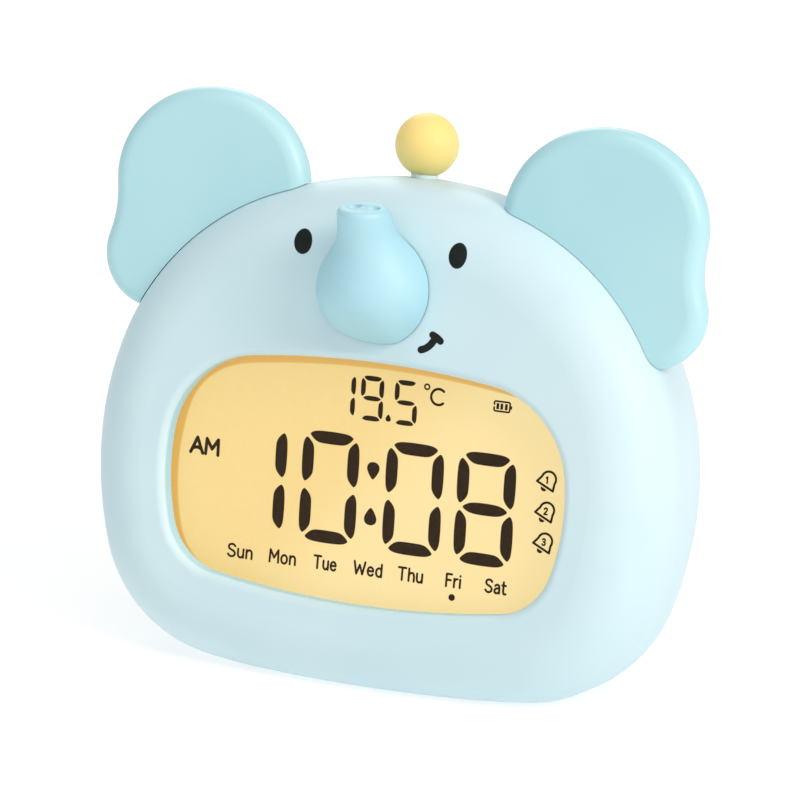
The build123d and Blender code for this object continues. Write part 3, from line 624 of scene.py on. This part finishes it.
# Rounded letters, in shares of their height: width, then strokes. Two points are straight, more are soft
letterShares = {
    "S": (0.6, [[(0.57, 0.85), (0.45, 0.97), (0.29, 1.0), (0.11, 0.93), (0.05, 0.76), (0.13, 0.61),
                 (0.31, 0.52), (0.49, 0.42), (0.57, 0.26), (0.51, 0.09), (0.33, 0.0), (0.15, 0.03),
                 (0.02, 0.16)]]),
    "u": (0.48, [[(0.02, 0.68), (0.02, 0.4), (0.03, 0.2), (0.1, 0.05), (0.22, 0.0), (0.36, 0.06),
                  (0.44, 0.2)], [(0.45, 0.68), (0.45, 0.0)]]),
    "n": (0.48, [[(0.03, 0.68), (0.03, 0.0)], [(0.04, 0.46), (0.12, 0.61), (0.26, 0.68), (0.39, 0.62),
                  (0.45, 0.46), (0.46, 0.24), (0.46, 0.0)]]),
    "M": (0.78, [[(0.03, 0.0), (0.06, 1.0)], [(0.06, 1.0), (0.39, 0.36)], [(0.39, 0.36), (0.72, 1.0)],
                 [(0.72, 1.0), (0.75, 0.0)]]),
    "o": (0.52, [[(0.26, 0.68), (0.1, 0.6), (0.03, 0.42), (0.03, 0.26), (0.1, 0.08), (0.26, 0.0),
                  (0.42, 0.08), (0.49, 0.26), (0.49, 0.42), (0.42, 0.6)]]),
    "T": (0.66, [[(0.02, 1.0), (0.64, 1.0)], [(0.33, 1.0), (0.33, 0.0)]]),
    "e": (0.5, [[(0.04, 0.36), (0.47, 0.36)], [(0.47, 0.36), (0.43, 0.56), (0.26, 0.68), (0.1, 0.6),
                 (0.03, 0.42), (0.03, 0.26), (0.1, 0.08), (0.25, 0.0), (0.38, 0.03), (0.46, 0.12)]]),
    "W": (0.94, [[(0.02, 1.0), (0.22, 0.0)], [(0.22, 0.0), (0.47, 0.74)], [(0.47, 0.74), (0.72, 0.0)],
                 [(0.72, 0.0), (0.92, 1.0)]]),
    "d": (0.5, [[(0.46, 1.0), (0.46, 0.0)], [(0.46, 0.48), (0.38, 0.63), (0.25, 0.68), (0.1, 0.6),
                 (0.03, 0.42), (0.03, 0.26), (0.1, 0.08), (0.25, 0.0), (0.38, 0.05), (0.46, 0.2)]]),
    "h": (0.48, [[(0.03, 1.0), (0.03, 0.0)], [(0.04, 0.46), (0.12, 0.61), (0.26, 0.68), (0.39, 0.62),
                  (0.45, 0.46), (0.46, 0.24), (0.46, 0.0)]]),
    "F": (0.54, [[(0.03, 1.0), (0.03, 0.0)], [(0.03, 1.0), (0.52, 1.0)], [(0.03, 0.53), (0.44, 0.53)]]),
    "r": (0.34, [[(0.03, 0.68), (0.03, 0.0)], [(0.04, 0.44), (0.11, 0.6), (0.22, 0.67), (0.33, 0.67)]]),
    "i": (0.08, [[(0.04, 0.68), (0.04, 0.0)], [(0.04, 0.93), (0.04, 0.96)]]),
    "a": (0.48, [[(0.07, 0.57), (0.15, 0.66), (0.27, 0.68), (0.39, 0.62), (0.44, 0.47), (0.45, 0.24),
                  (0.45, 0.0)], [(0.44, 0.4), (0.25, 0.39), (0.08, 0.31), (0.03, 0.18), (0.09, 0.04),
                  (0.22, 0.0), (0.36, 0.05), (0.44, 0.17)]]),
    "t": (0.36, [[(0.12, 0.95), (0.12, 0.5), (0.12, 0.2), (0.16, 0.05), (0.25, 0.0), (0.35, 0.02)],
                 [(0.0, 0.68), (0.32, 0.68)]]),
    "A": (0.74, [[(0.02, 0.0), (0.37, 1.0)], [(0.37, 1.0), (0.72, 0.0)], [(0.15, 0.28), (0.37, 0.36),
                  (0.6, 0.28)]]),
    "1": (0.34, [[(0.04, 0.82), (0.24, 1.0)], [(0.24, 1.0), (0.24, 0.0)]]),
    "2": (0.56, [[(0.05, 0.78), (0.11, 0.93), (0.28, 1.0), (0.45, 0.93), (0.51, 0.76), (0.43, 0.54),
                  (0.22, 0.26), (0.03, 0.0)], [(0.03, 0.0), (0.54, 0.0)]]),
    "3": (0.56, [[(0.06, 0.86), (0.17, 0.97), (0.32, 1.0), (0.47, 0.91), (0.49, 0.75), (0.41, 0.6),
                  (0.24, 0.54)], [(0.24, 0.54), (0.44, 0.47), (0.53, 0.28), (0.46, 0.08), (0.28, 0.0),
                  (0.12, 0.03), (0.03, 0.15)]]),
}
closedLetters = "o"


def wordStrokes(word, left, right, base, height, gapShare=0.2):
    # a word set between two sides, on its base line
    total = sum(letterShares[letter][0] for letter in word) + gapShare * (len(word) - 1)
    stretch = (right - left) / total
    strokes, at = [], 0.0
    for letter in word:
        width, lines = letterShares[letter]
        closed = letter in closedLetters
        for points in lines:
            placed = [(left + (at + x) * stretch, base + y * height) for x, y in points]
            strokes.append((smoothed(placed, closed), closed))
        at += width + gapShare
    return strokes


# Seven-part digits: each part is a rounded blade, along its half length and across its thickness
digit = {"halfWidth": 6.03, "halfHeight": 10.88, "thickness": 2.46, "upright": 4.28, "level": 5.03,
         "flat": 4.5, "middle": 4.57, "middleHalf": 1.15, "leanShare": -0.025, "softSteps": 4}
bladeShares = [(-1, 0.31), (-0.84, 0.12), (-0.56, 0.03), (0, 0), (0.56, 0.03), (0.84, 0.12), (1, 0.31),
               (0.96, 0.49), (0.83, 0.72), (0.68, 0.89), (0.47, 0.98), (0, 1), (-0.47, 0.98), (-0.68, 0.89),
               (-0.83, 0.72), (-0.96, 0.49)]
lensShares = [(-1, 0), (-0.86, 0.5), (-0.62, 0.86), (-0.26, 1), (0.26, 1), (0.62, 0.86), (0.86, 0.5),
              (1, 0), (0.86, -0.5), (0.62, -0.86), (0.26, -1), (-0.26, -1), (-0.62, -0.86), (-0.86, -0.5)]
dropShares = [(0, 0.94), (0.36, 0.7), (0.74, 0.26), (1, -0.26), (0.84, -0.72), (0.36, -0.97), (-0.36, -0.97),
              (-0.84, -0.72), (-1, -0.26), (-0.74, 0.26), (-0.36, 0.7)]
digitParts = {"0": "abcdef", "1": "bc", "5": "acdfg", "8": "abcdefg", "9": "abcdfg"}


def bladeOutline(part):
    wide, tall, thick = digit["halfWidth"], digit["halfHeight"], digit["thickness"]
    if part == "g":
        return [(s * digit["middle"], t * digit["middleHalf"]) for s, t in lensShares]
    if part in "ad":
        side = 1 if part == "a" else -1
        return [(s * digit["flat"], side * (tall - t * thick)) for s, t in bladeShares]
    side = 1 if part in "bc" else -1
    level = digit["level"] if part in "bf" else -digit["level"]
    return [(side * (wide - t * thick), level + s * digit["upright"]) for s, t in bladeShares]


def placedOutline(shares, x, level, size, middle, wide=1.0, tall=1.0):
    placed = [(x + size * wide * px, level + size * tall * py) for px, py in shares]
    leaning = [(px + digit["leanShare"] * (py - middle), py) for px, py in placed]
    return smoothed(leaning, True, digit["softSteps"])


def digitOutlines(sign, x, level, size, middle):
    return [placedOutline(bladeOutline(part), x, level, size, middle) for part in digitParts[sign]]


displaySheet = {"depth": 5.6, "lift": 0.02, "ink": 0.05, "middle": 39.4}
inkSheet = frontSheet(displaySheet["depth"] - displaySheet["lift"])


def addShapes(name, outlines):
    addPiece(name, shapesMesh(outlines, displaySheet["ink"], inkSheet), crystalInk)


def addStrokes(name, strokes, width):
    addPiece(name, strokesMesh(strokes, width, displaySheet["ink"], crystalInk, inkSheet), crystalInk)


timeMarks = {"level": 39.36, "digits": [("1", -23.75), ("0", -8.47), ("0", 9.22), ("8", 24.1)],
             "drops": [(0.46, 43.75, -1.74), (0.66, 34.95, 1.74)], "dropHalf": 1.3}
outlines = []
for sign, x in timeMarks["digits"]:
    outlines += digitOutlines(sign, x, timeMarks["level"], 1.0, displaySheet["middle"])
for x, level, tall in timeMarks["drops"]:
    outlines.append(placedOutline(dropShares, x, level, 1.0, level, timeMarks["dropHalf"], tall))
addShapes("display_time", outlines)

warmthMarks = {"level": 57.7, "size": 0.4, "digits": [("1", -6.95), ("9", -1.05), ("5", 6.03)],
               "drop": (2.66, 54.38, 0.55, 0.7)}
outlines = []
for sign, x in warmthMarks["digits"]:
    outlines += digitOutlines(sign, x, warmthMarks["level"], warmthMarks["size"], warmthMarks["level"])
x, level, wide, tall = warmthMarks["drop"]
outlines.append(placedOutline(dropShares, x, level, 1.0, level, wide, tall))
addShapes("display_warmth", outlines)
print("display digits done")

dayMarks = {"height": 2.42, "pen": 0.44, "base": 23.45, "riseShare": 0.009, "names": [
    ("Sun", -28.8, -23.6), ("Mon", -19.85, -14.3), ("Tue", -10.35, -5.65), ("Wed", -1.85, 4.05),
    ("Thu", 7.45, 12.55), ("Fri", 17.45, 20.45), ("Sat", 25.6, 29.85)],
    "dot": (18.9, 21.6, 0.66), "dotArc": (0, 350, 36)}
strokes = []
for name, left, right in dayMarks["names"]:
    base = dayMarks["base"] + dayMarks["riseShare"] * (left + right) / 2
    strokes += wordStrokes(name, left, right, base, dayMarks["height"])
addStrokes("display_days", strokes, dayMarks["pen"])
addShapes("display_day_dot", [arc(*dayMarks["dot"], *dayMarks["dotArc"])])

bellMarks = {"places": [(35.8, 45.32, "1"), (35.97, 39.38, "2"), (36.12, 33.46, "3")], "turn": -25.3,
             "pen": 0.45, "dome": 1.45, "domeLevel": 1.72, "domeArc": (-8, 188, 22), "flare": 1.86, "foot": 0.14,
             "clapper": 0.62, "clapperLevel": -0.3, "clapperArc": (180, 360, 16), "digitShift": (0.5, 0.72),
             "digitHeight": 1.22, "digitWidth": 0.66, "oneShare": 0.6, "digitPen": 0.33}


def bellStrokes(x, level, size, turn, look):
    # outline of a small bell: two flared sides, a dome and a foot line
    lean = radians(turn)
    dome = arc(0, look["domeLevel"], look["dome"], *look["domeArc"])
    body = [(look["flare"], look["foot"])] + dome + [(-look["flare"], look["foot"])]
    foot = [(-look["flare"], look["foot"]), (look["flare"], look["foot"])]

    def put(points):
        return [(x + size * (px * cos(lean) - py * sin(lean)),
                 level + size * (px * sin(lean) + py * cos(lean))) for px, py in points]
    clapper = put(arc(0, look["clapperLevel"], look["clapper"], *look["clapperArc"]))
    return [(put(body), False), (put(foot), False)], clapper


strokes, thinStrokes, outlines = [], [], []
for x, level, number in bellMarks["places"]:
    bell, clapper = bellStrokes(x, level, 1.0, bellMarks["turn"], bellMarks)
    strokes += bell
    outlines.append(clapper)
    left = x + bellMarks["digitShift"][0] - bellMarks["digitWidth"] / 2
    base = level + bellMarks["digitShift"][1]
    width = bellMarks["digitWidth"] * (bellMarks["oneShare"] if number == "1" else 1.0)
    thinStrokes += wordStrokes(number, left, left + width, base, bellMarks["digitHeight"])
addStrokes("display_bells", strokes, bellMarks["pen"])
addStrokes("display_bell_numbers", thinStrokes, bellMarks["digitPen"])
addShapes("display_clappers", outlines)

signMarks = {"letter": (12.68, 59.68, 1.53), "letterArc": (48, 312, 30), "letterPen": 0.5,
             "ring": (10.16, 61.35, 0.49), "ringArc": (0, 345, 24), "ringPen": 0.34,
             "morning": (-38.6, -32.5, 42.6, 3.0), "morningGap": 0.12, "morningPen": 0.68}
letterStroke = arc(*signMarks["letter"], *signMarks["letterArc"])
addStrokes("display_scale_letter", [(letterStroke, False)], signMarks["letterPen"])
ringStroke = arc(*signMarks["ring"], *signMarks["ringArc"])
addStrokes("display_scale_ring", [(ringStroke, True)], signMarks["ringPen"])
strokes = wordStrokes("AM", *signMarks["morning"], signMarks["morningGap"])
addStrokes("display_morning", strokes, signMarks["morningPen"])

batteryMarks = {"left": 24.2, "right": 27.4, "low": 58.5, "high": 60.38, "round": 0.3, "roundSteps": 6,
                "pen": 0.35, "gapLow": 59.2, "gapHigh": 59.72, "bars": (24.92, 25.74, 26.66),
                "barHalf": (0.27, 0.58), "nub": (27.68, 59.42, 0.17, 0.32)}


def batteryStrokes(look):
    # rounded case with a break in its left end
    left, right, low, high, radius = (look[key] for key in ("left", "right", "low", "high", "round"))

    def corner(x, level, start):
        return arc(x, level, radius, start, start - 90, look["roundSteps"])
    upper = corner(left + radius, high - radius, 180) + corner(right - radius, high - radius, 90)
    lower = corner(right - radius, low + radius, 0) + corner(left + radius, low + radius, -90)
    return [([(left, look["gapHigh"])] + upper + lower + [(left, look["gapLow"])], False)]


def boxOutline(x, level, wide, tall):
    return [(x - wide, level - tall), (x + wide, level - tall),
            (x + wide, level + tall), (x - wide, level + tall)]


middle = (batteryMarks["low"] + batteryMarks["high"]) / 2
outlines = [boxOutline(x, middle, *batteryMarks["barHalf"]) for x in batteryMarks["bars"]]
outlines.append(boxOutline(*batteryMarks["nub"]))
addStrokes("display_battery", batteryStrokes(batteryMarks), batteryMarks["pen"])
addShapes("display_battery_bars", outlines)
print("display signs done")


# Trunk: the moulding with its tip facing further up and its underside drawn up and flattened
trunkShape = {"level": 79.3, "out": 0.3, "tilt": radians(29.0), "from": 7.0, "length": 18.8, "neckShare": 0.96,
              "tipSlope": 0.34, "lift": 0.22, "liftReach": 8.0, "flat": 0.95, "flatX": -1.2, "flatReach": 7.0,
              "flatFrom": 4.0, "flatTo": 11.0, "crease": radians(40.0), "merge": 0.001}


def trunkMesh(look):
    root = onHead(0, look["level"], -look["out"])
    along = cos(look["tilt"]) * upFace - sin(look["tilt"]) * intoHead
    across = sin(look["tilt"]) * upFace + cos(look["tilt"]) * intoHead
    neck = (look["length"] - look["from"]) * mm
    mesh = bmesh.new()
    mesh.from_mesh(parts["trunk"].data)
    bmesh.ops.remove_doubles(mesh, verts=mesh.verts, dist=look["merge"] * mm)
    for vert in mesh.verts:
        # the underside goes up with its distance from the face
        stand, under = (vert.co - root).dot(-intoHead), (root - vert.co).dot(upFace) / mm
        if stand > 0 and under > 0:
            vert.co += upFace * stand * look["lift"] * min(under / look["liftReach"], 1)
        # its lower edge is flatter in the middle
        middle = max(1 - ((vert.co.x / mm - look["flatX"]) / look["flatReach"]) ** 2, 0)
        low = min(max((under - look["flatFrom"]) / (look["flatTo"] - look["flatFrom"]), 0), 1)
        vert.co += upFace * look["flat"] * mm * middle * low * low * (3 - 2 * low)
        # past the bulb, the side towards the head is shorter, so the tip faces further up
        place = vert.co - root
        past = place.dot(along) - look["from"] * mm
        if past > 0:
            level = look["neckShare"] - look["tipSlope"] * place.dot(across) / neck
            vert.co += along * past * (level - 1)
    made = plainMesh("trunkSkin", mesh)
    made.shade_smooth()
    made.set_sharp_from_angle(angle=look["crease"])
    return made


trunk = addPiece("trunk_moulding", trunkMesh(trunkShape), trunkPlastic)
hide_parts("trunk")
print("trunk done")

# Eyes: thin printed ovals that follow the rounded brow
eyes = {"places": {"eye_right": (16.2, 87.5, 1.8), "eye_left": (-15.8, 86.8, 1.9)}, "halfHeight": 2.45,
        "film": 0.03, "crown": 0.07, "under": 0.01, "rings": 8, "steps": 48, "above": 30.0}
browTree = BVHTree.FromObject(parts["front_shell"], bpy.context.evaluated_depsgraph_get())


def eyeMesh(middle, level, halfWidth):
    mesh = bmesh.new()
    layers = []
    for top in (True, False):
        rings = []
        for ring in range(eyes["rings"] + 1):
            share = ring / eyes["rings"]
            count = eyes["steps"] if ring else 1
            row = []
            for step in range(count):
                turn = 2 * pi * step / eyes["steps"]
                x = middle + share * halfWidth * cos(turn)
                up = level + share * eyes["halfHeight"] * sin(turn)
                spot, normal = browTree.ray_cast(onHead(x, up, -eyes["above"]), intoHead)[:2]
                lift = eyes["film"] + eyes["crown"] * (1 - share**2) if top else eyes["under"]
                row.append(mesh.verts.new(spot + normal * lift * mm))
            rings.append(row)
        layers.append(rings)
    for rings in layers:
        for step in range(eyes["steps"]):
            after = (step + 1) % eyes["steps"]
            mesh.faces.new((rings[0][0], rings[1][step], rings[1][after]))
        for inner, outer in zip(rings[1:], rings[2:]):
            joinRings(mesh, outer, inner)
    joinRings(mesh, layers[1][-1], layers[0][-1])
    bmesh.ops.recalc_face_normals(mesh, faces=mesh.faces)
    made = plainMesh("eye", mesh)
    made.shade_smooth()
    return made


for name, place in eyes["places"].items():
    addPiece(name, eyeMesh(*place), eyeInk)

# Mouth: a short printed smile beside the trunk, with a cross stroke at its end
mouth = {"smile": [(10.45, 68.9), (11.4, 69.3), (12.35, 70.1), (13.1, 71.2)],
         "cross": [(12.6, 72.0), (13.5, 71.6), (14.3, 71.0)], "pen": 1.4, "ink": 0.06, "lift": 0.02}
strokes = [(smoothed(mouth["smile"]), False), (smoothed(mouth["cross"]), False)]
mesh = strokesMesh(strokes, mouth["pen"], mouth["ink"], eyeInk, frontSheet(-mouth["lift"]))
addPiece("mouth", mesh, eyeInk)

# Signs printed on the keys in the back
keySigns = {"depth": 46.0, "lift": 0.01, "level": 40.0, "pen": 0.55, "ink": 0.06, "arm": 2.0, "bellSize": 1.05,
            "bellDrop": 1.4, "clock": 2.1, "clockArc": (0, 350, 36), "hands": (1.3, 1.0),
            "alarm": 27.0, "down": 9.0, "up": -9.0, "set": -27.0}
keySheet = backSheet(keySigns["depth"] + keySigns["lift"])


def keyStrokes(kind):
    x, level, arm = keySigns[kind], keySigns["level"], keySigns["arm"]
    if kind == "alarm":
        return bellStrokes(x, level - keySigns["bellDrop"], keySigns["bellSize"], 0, bellMarks)[0]
    if kind == "set":
        minute, hour = keySigns["hands"]
        return [(arc(x, level, keySigns["clock"], *keySigns["clockArc"]), True),
                ([(x, level), (x, level + minute)], False), ([(x, level), (x + hour, level)], False)]
    strokes = [([(x - arm, level), (x + arm, level)], False)]
    if kind == "up":
        strokes.append(([(x, level - arm), (x, level + arm)], False))
    return strokes


for kind in ("alarm", "down", "up", "set"):
    mesh = strokesMesh(keyStrokes(kind), keySigns["pen"], keySigns["ink"], keyInk, keySheet)
    addPiece("sign_" + kind, mesh, keyInk, "button_" + kind)
print("prints done")

# Case screws in the wells of the back: pan heads with a cross recess
caseScrews = {"places": [(45.4, 71.6), (-45.4, 71.6), (48.6, 21.8), (-48.6, 21.8)], "seat": 19.0,
              "headRadius": 2.3, "headHeight": 1.6,
              "crown": [(1.0, 0.45), (0.94, 0.72), (0.8, 0.92), (0.62, 1.0)],
              "shankRadius": 1.1, "shankLength": 8.7, "tipShare": 0.6, "tipLength": 0.8,
              "slot": 0.42, "reach": 1.25, "slotDepth": 0.9, "pitShare": 0.6, "steps": 40, "seed": 7}


def ringOf(mesh, radius, height, steps):
    turns = [2 * pi * n / steps for n in range(steps)]
    return [mesh.verts.new((radius * cos(turn), radius * sin(turn), height)) for turn in turns]


def crossRecess(look, height, taper):
    w, r = look["slot"] * taper, look["reach"] * taper
    return [(x, y, height) for x, y in ((w, w), (w, r), (-w, r), (-w, w), (-r, w), (-r, -w), (-w, -w), (-w, -r),
                                        (w, -r), (w, -w), (r, -w), (r, w))]


def screwMesh(look):
    mesh = bmesh.new()
    head, top, shank, tip = look["headRadius"], look["headHeight"], look["shankRadius"], -look["shankLength"]
    profile = [(shank * look["tipShare"], tip), (shank, tip + look["tipLength"]), (shank, 0.0), (head, 0.0)]
    profile += [(head * wide, top * tall) for wide, tall in look["crown"]]
    rings = [ringOf(mesh, radius, height, look["steps"]) for radius, height in profile]
    for low, high in zip(rings, rings[1:]):
        joinRings(mesh, low, high)
    mesh.faces.new(reversed(rings[0]))
    rim = [mesh.verts.new(p) for p in crossRecess(look, top, 1.0)]
    pit = [mesh.verts.new(p) for p in crossRecess(look, top - look["slotDepth"], look["pitShare"])]
    joinRings(mesh, rim, pit)
    mesh.faces.new(pit)
    border = [mesh.edges.get((loop[n], loop[(n + 1) % len(loop)]))
              for loop in (rings[-1], rim) for n in range(len(loop))]
    bmesh.ops.triangle_fill(mesh, edges=border, use_beauty=True)
    bmesh.ops.recalc_face_normals(mesh, faces=mesh.faces)
    return plainMesh("screw", mesh)


def screwTree():
    tree, add = geometryTree("screwsInPlace", [
        ("Geometry", "NodeSocketGeometry"), ("Screw", "NodeSocketObject"), ("Turn", "NodeSocketFloat"),
        ("Seed", "NodeSocketInt"), ("Metal", "NodeSocketMaterial")])
    given = add("NodeGroupInput").outputs
    one = add("GeometryNodeObjectInfo", {}, {"Object": given["Screw"]}).outputs["Geometry"]
    points = add("GeometryNodeMeshToPoints", {}, {"Mesh": given["Geometry"]}).outputs[0]
    turn = add("FunctionNodeRandomValue", {"data_type": "FLOAT"},
               {2: 0.0, 3: given["Turn"], 8: given["Seed"]}).outputs[1]
    spin = add("ShaderNodeCombineXYZ", {}, {2: turn}).outputs[0]
    placed = add("GeometryNodeInstanceOnPoints", {},
                 {"Points": points, "Instance": one, "Rotation": spin}).outputs[0]
    solid = add("GeometryNodeRealizeInstances", {}, {0: placed}).outputs[0]
    plated = add("GeometryNodeSetMaterial", {}, {"Geometry": solid, "Material": given["Metal"]}).outputs[0]
    add("NodeGroupOutput", {}, {0: plated})
    return tree


pattern = linked("screwPattern", screwMesh(caseScrews))
host = bpy.data.meshes.new("screwPlaces")
host.from_pydata([(-x, level, 0.0) for x, level in caseScrews["places"]], [], [])
mesh = grown("screws", host, screwTree(), {
    "Screw": pattern, "Turn": 2 * pi, "Seed": caseScrews["seed"], "Metal": steelFinish})
bpy.data.objects.remove(pattern)
mesh.transform(backSheet(caseScrews["seat"]))
screws = addPiece("case_screw_heads", mesh, steelFinish)
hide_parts("case_screws")
print("case screws done")

# Floor, light and camera: floor and lights in metres, camera in mm
floor = {"half": 8.0, "tint": tone(176, 176, 176), "deep": tone(172, 172, 172), "grainScale": 6.0,
         "roughness": 0.9, "glow": 0.64, "glowTint": (1.0, 1.0, 1.0, 1.0)}
floorMesh = bpy.data.meshes.new("floor")
corners = [(x, y, 0.0) for x, y in boxOutline(0.0, 0.0, floor["half"], floor["half"])]
floorMesh.from_pydata(corners, [], [(0, 1, 2, 3)])
floorFinish = Finish("paleFloor")
floorMesh.materials.append(floorFinish.shade({
    "Base Color": floorFinish.blend(floorFinish.grain(floor["grainScale"]), floor["tint"], floor["deep"]),
    "Roughness": floor["roughness"],
    "Emission Color": floor["glowTint"],
    "Emission Strength": floor["glow"],
}))
floorPiece = linked("floor", floorMesh)

studio = {"sky": 0.45, "skyTint": (0.94, 1.0, 1.03, 1.0), "aim": (0.0, 0.0, 0.055), "lights": [
    {"name": "keyLight", "place": (2.85, -1.05, 2.2), "size": 1.5, "power": 65.0, "tint": (1.0, 0.875, 0.83)},
    {"name": "sideLight", "place": (2.8, -0.45, 0.9), "size": 1.2, "power": 8.0, "tint": (1.0, 0.77, 0.7)},
    {"name": "frontLight", "place": (0.4, -3.2, 1.6), "size": 2.0, "power": 11.0, "tint": (1.0, 0.92, 0.89)},
    {"name": "topLight", "place": (0.3, -0.4, 2.6), "size": 1.8, "power": 18.0, "tint": (1.0, 0.92, 0.88)},
    {"name": "backLight", "place": (-1.4, 2.6, 1.6), "size": 1.8, "power": 24.0, "tint": (1.0, 0.97, 0.95)},
]}
world = bpy.data.worlds.new("studioSky")
bpy.context.scene.world = world
world.use_nodes = True
sky = world.node_tree.nodes["Background"]
sky.inputs["Color"].default_value = studio["skyTint"]
sky.inputs["Strength"].default_value = studio["sky"]
for lamp in studio["lights"]:
    light = bpy.data.lights.new(lamp["name"], "AREA")
    light.shape, light.size, light.energy, light.color = "DISK", lamp["size"], lamp["power"], lamp["tint"]
    holder = linked(lamp["name"], light)
    holder.location = lamp["place"]
    beam = Vector(studio["aim"]) - Vector(lamp["place"])
    holder.rotation_euler = beam.to_track_quat("-Z", "Y").to_euler()

camera = {"eye": (315.3, -739.3, 303.9), "aim": (9.74, -25.34, 59.77), "up": (-0.1230, 0.2766, 0.9531),
          "lens": 193.8, "sensor": 36.0, "near": 0.01}
eyePoint, aimPoint = Vector(camera["eye"]) * mm, Vector(camera["aim"]) * mm
back = (eyePoint - aimPoint).normalized()
right = Vector(camera["up"]).cross(back).normalized()
lensData = bpy.data.cameras.new("camera")
lensData.sensor_width, lensData.lens, lensData.clip_start = camera["sensor"], camera["lens"], camera["near"]
cameraPiece = linked("camera", lensData)
cameraPiece.matrix_world = Matrix.Translation(eyePoint) @ turned(right, back.cross(right), back)
bpy.context.scene.camera = cameraPiece
bpy.context.scene.view_settings.view_transform = "Standard"
print("floor, light and camera done")
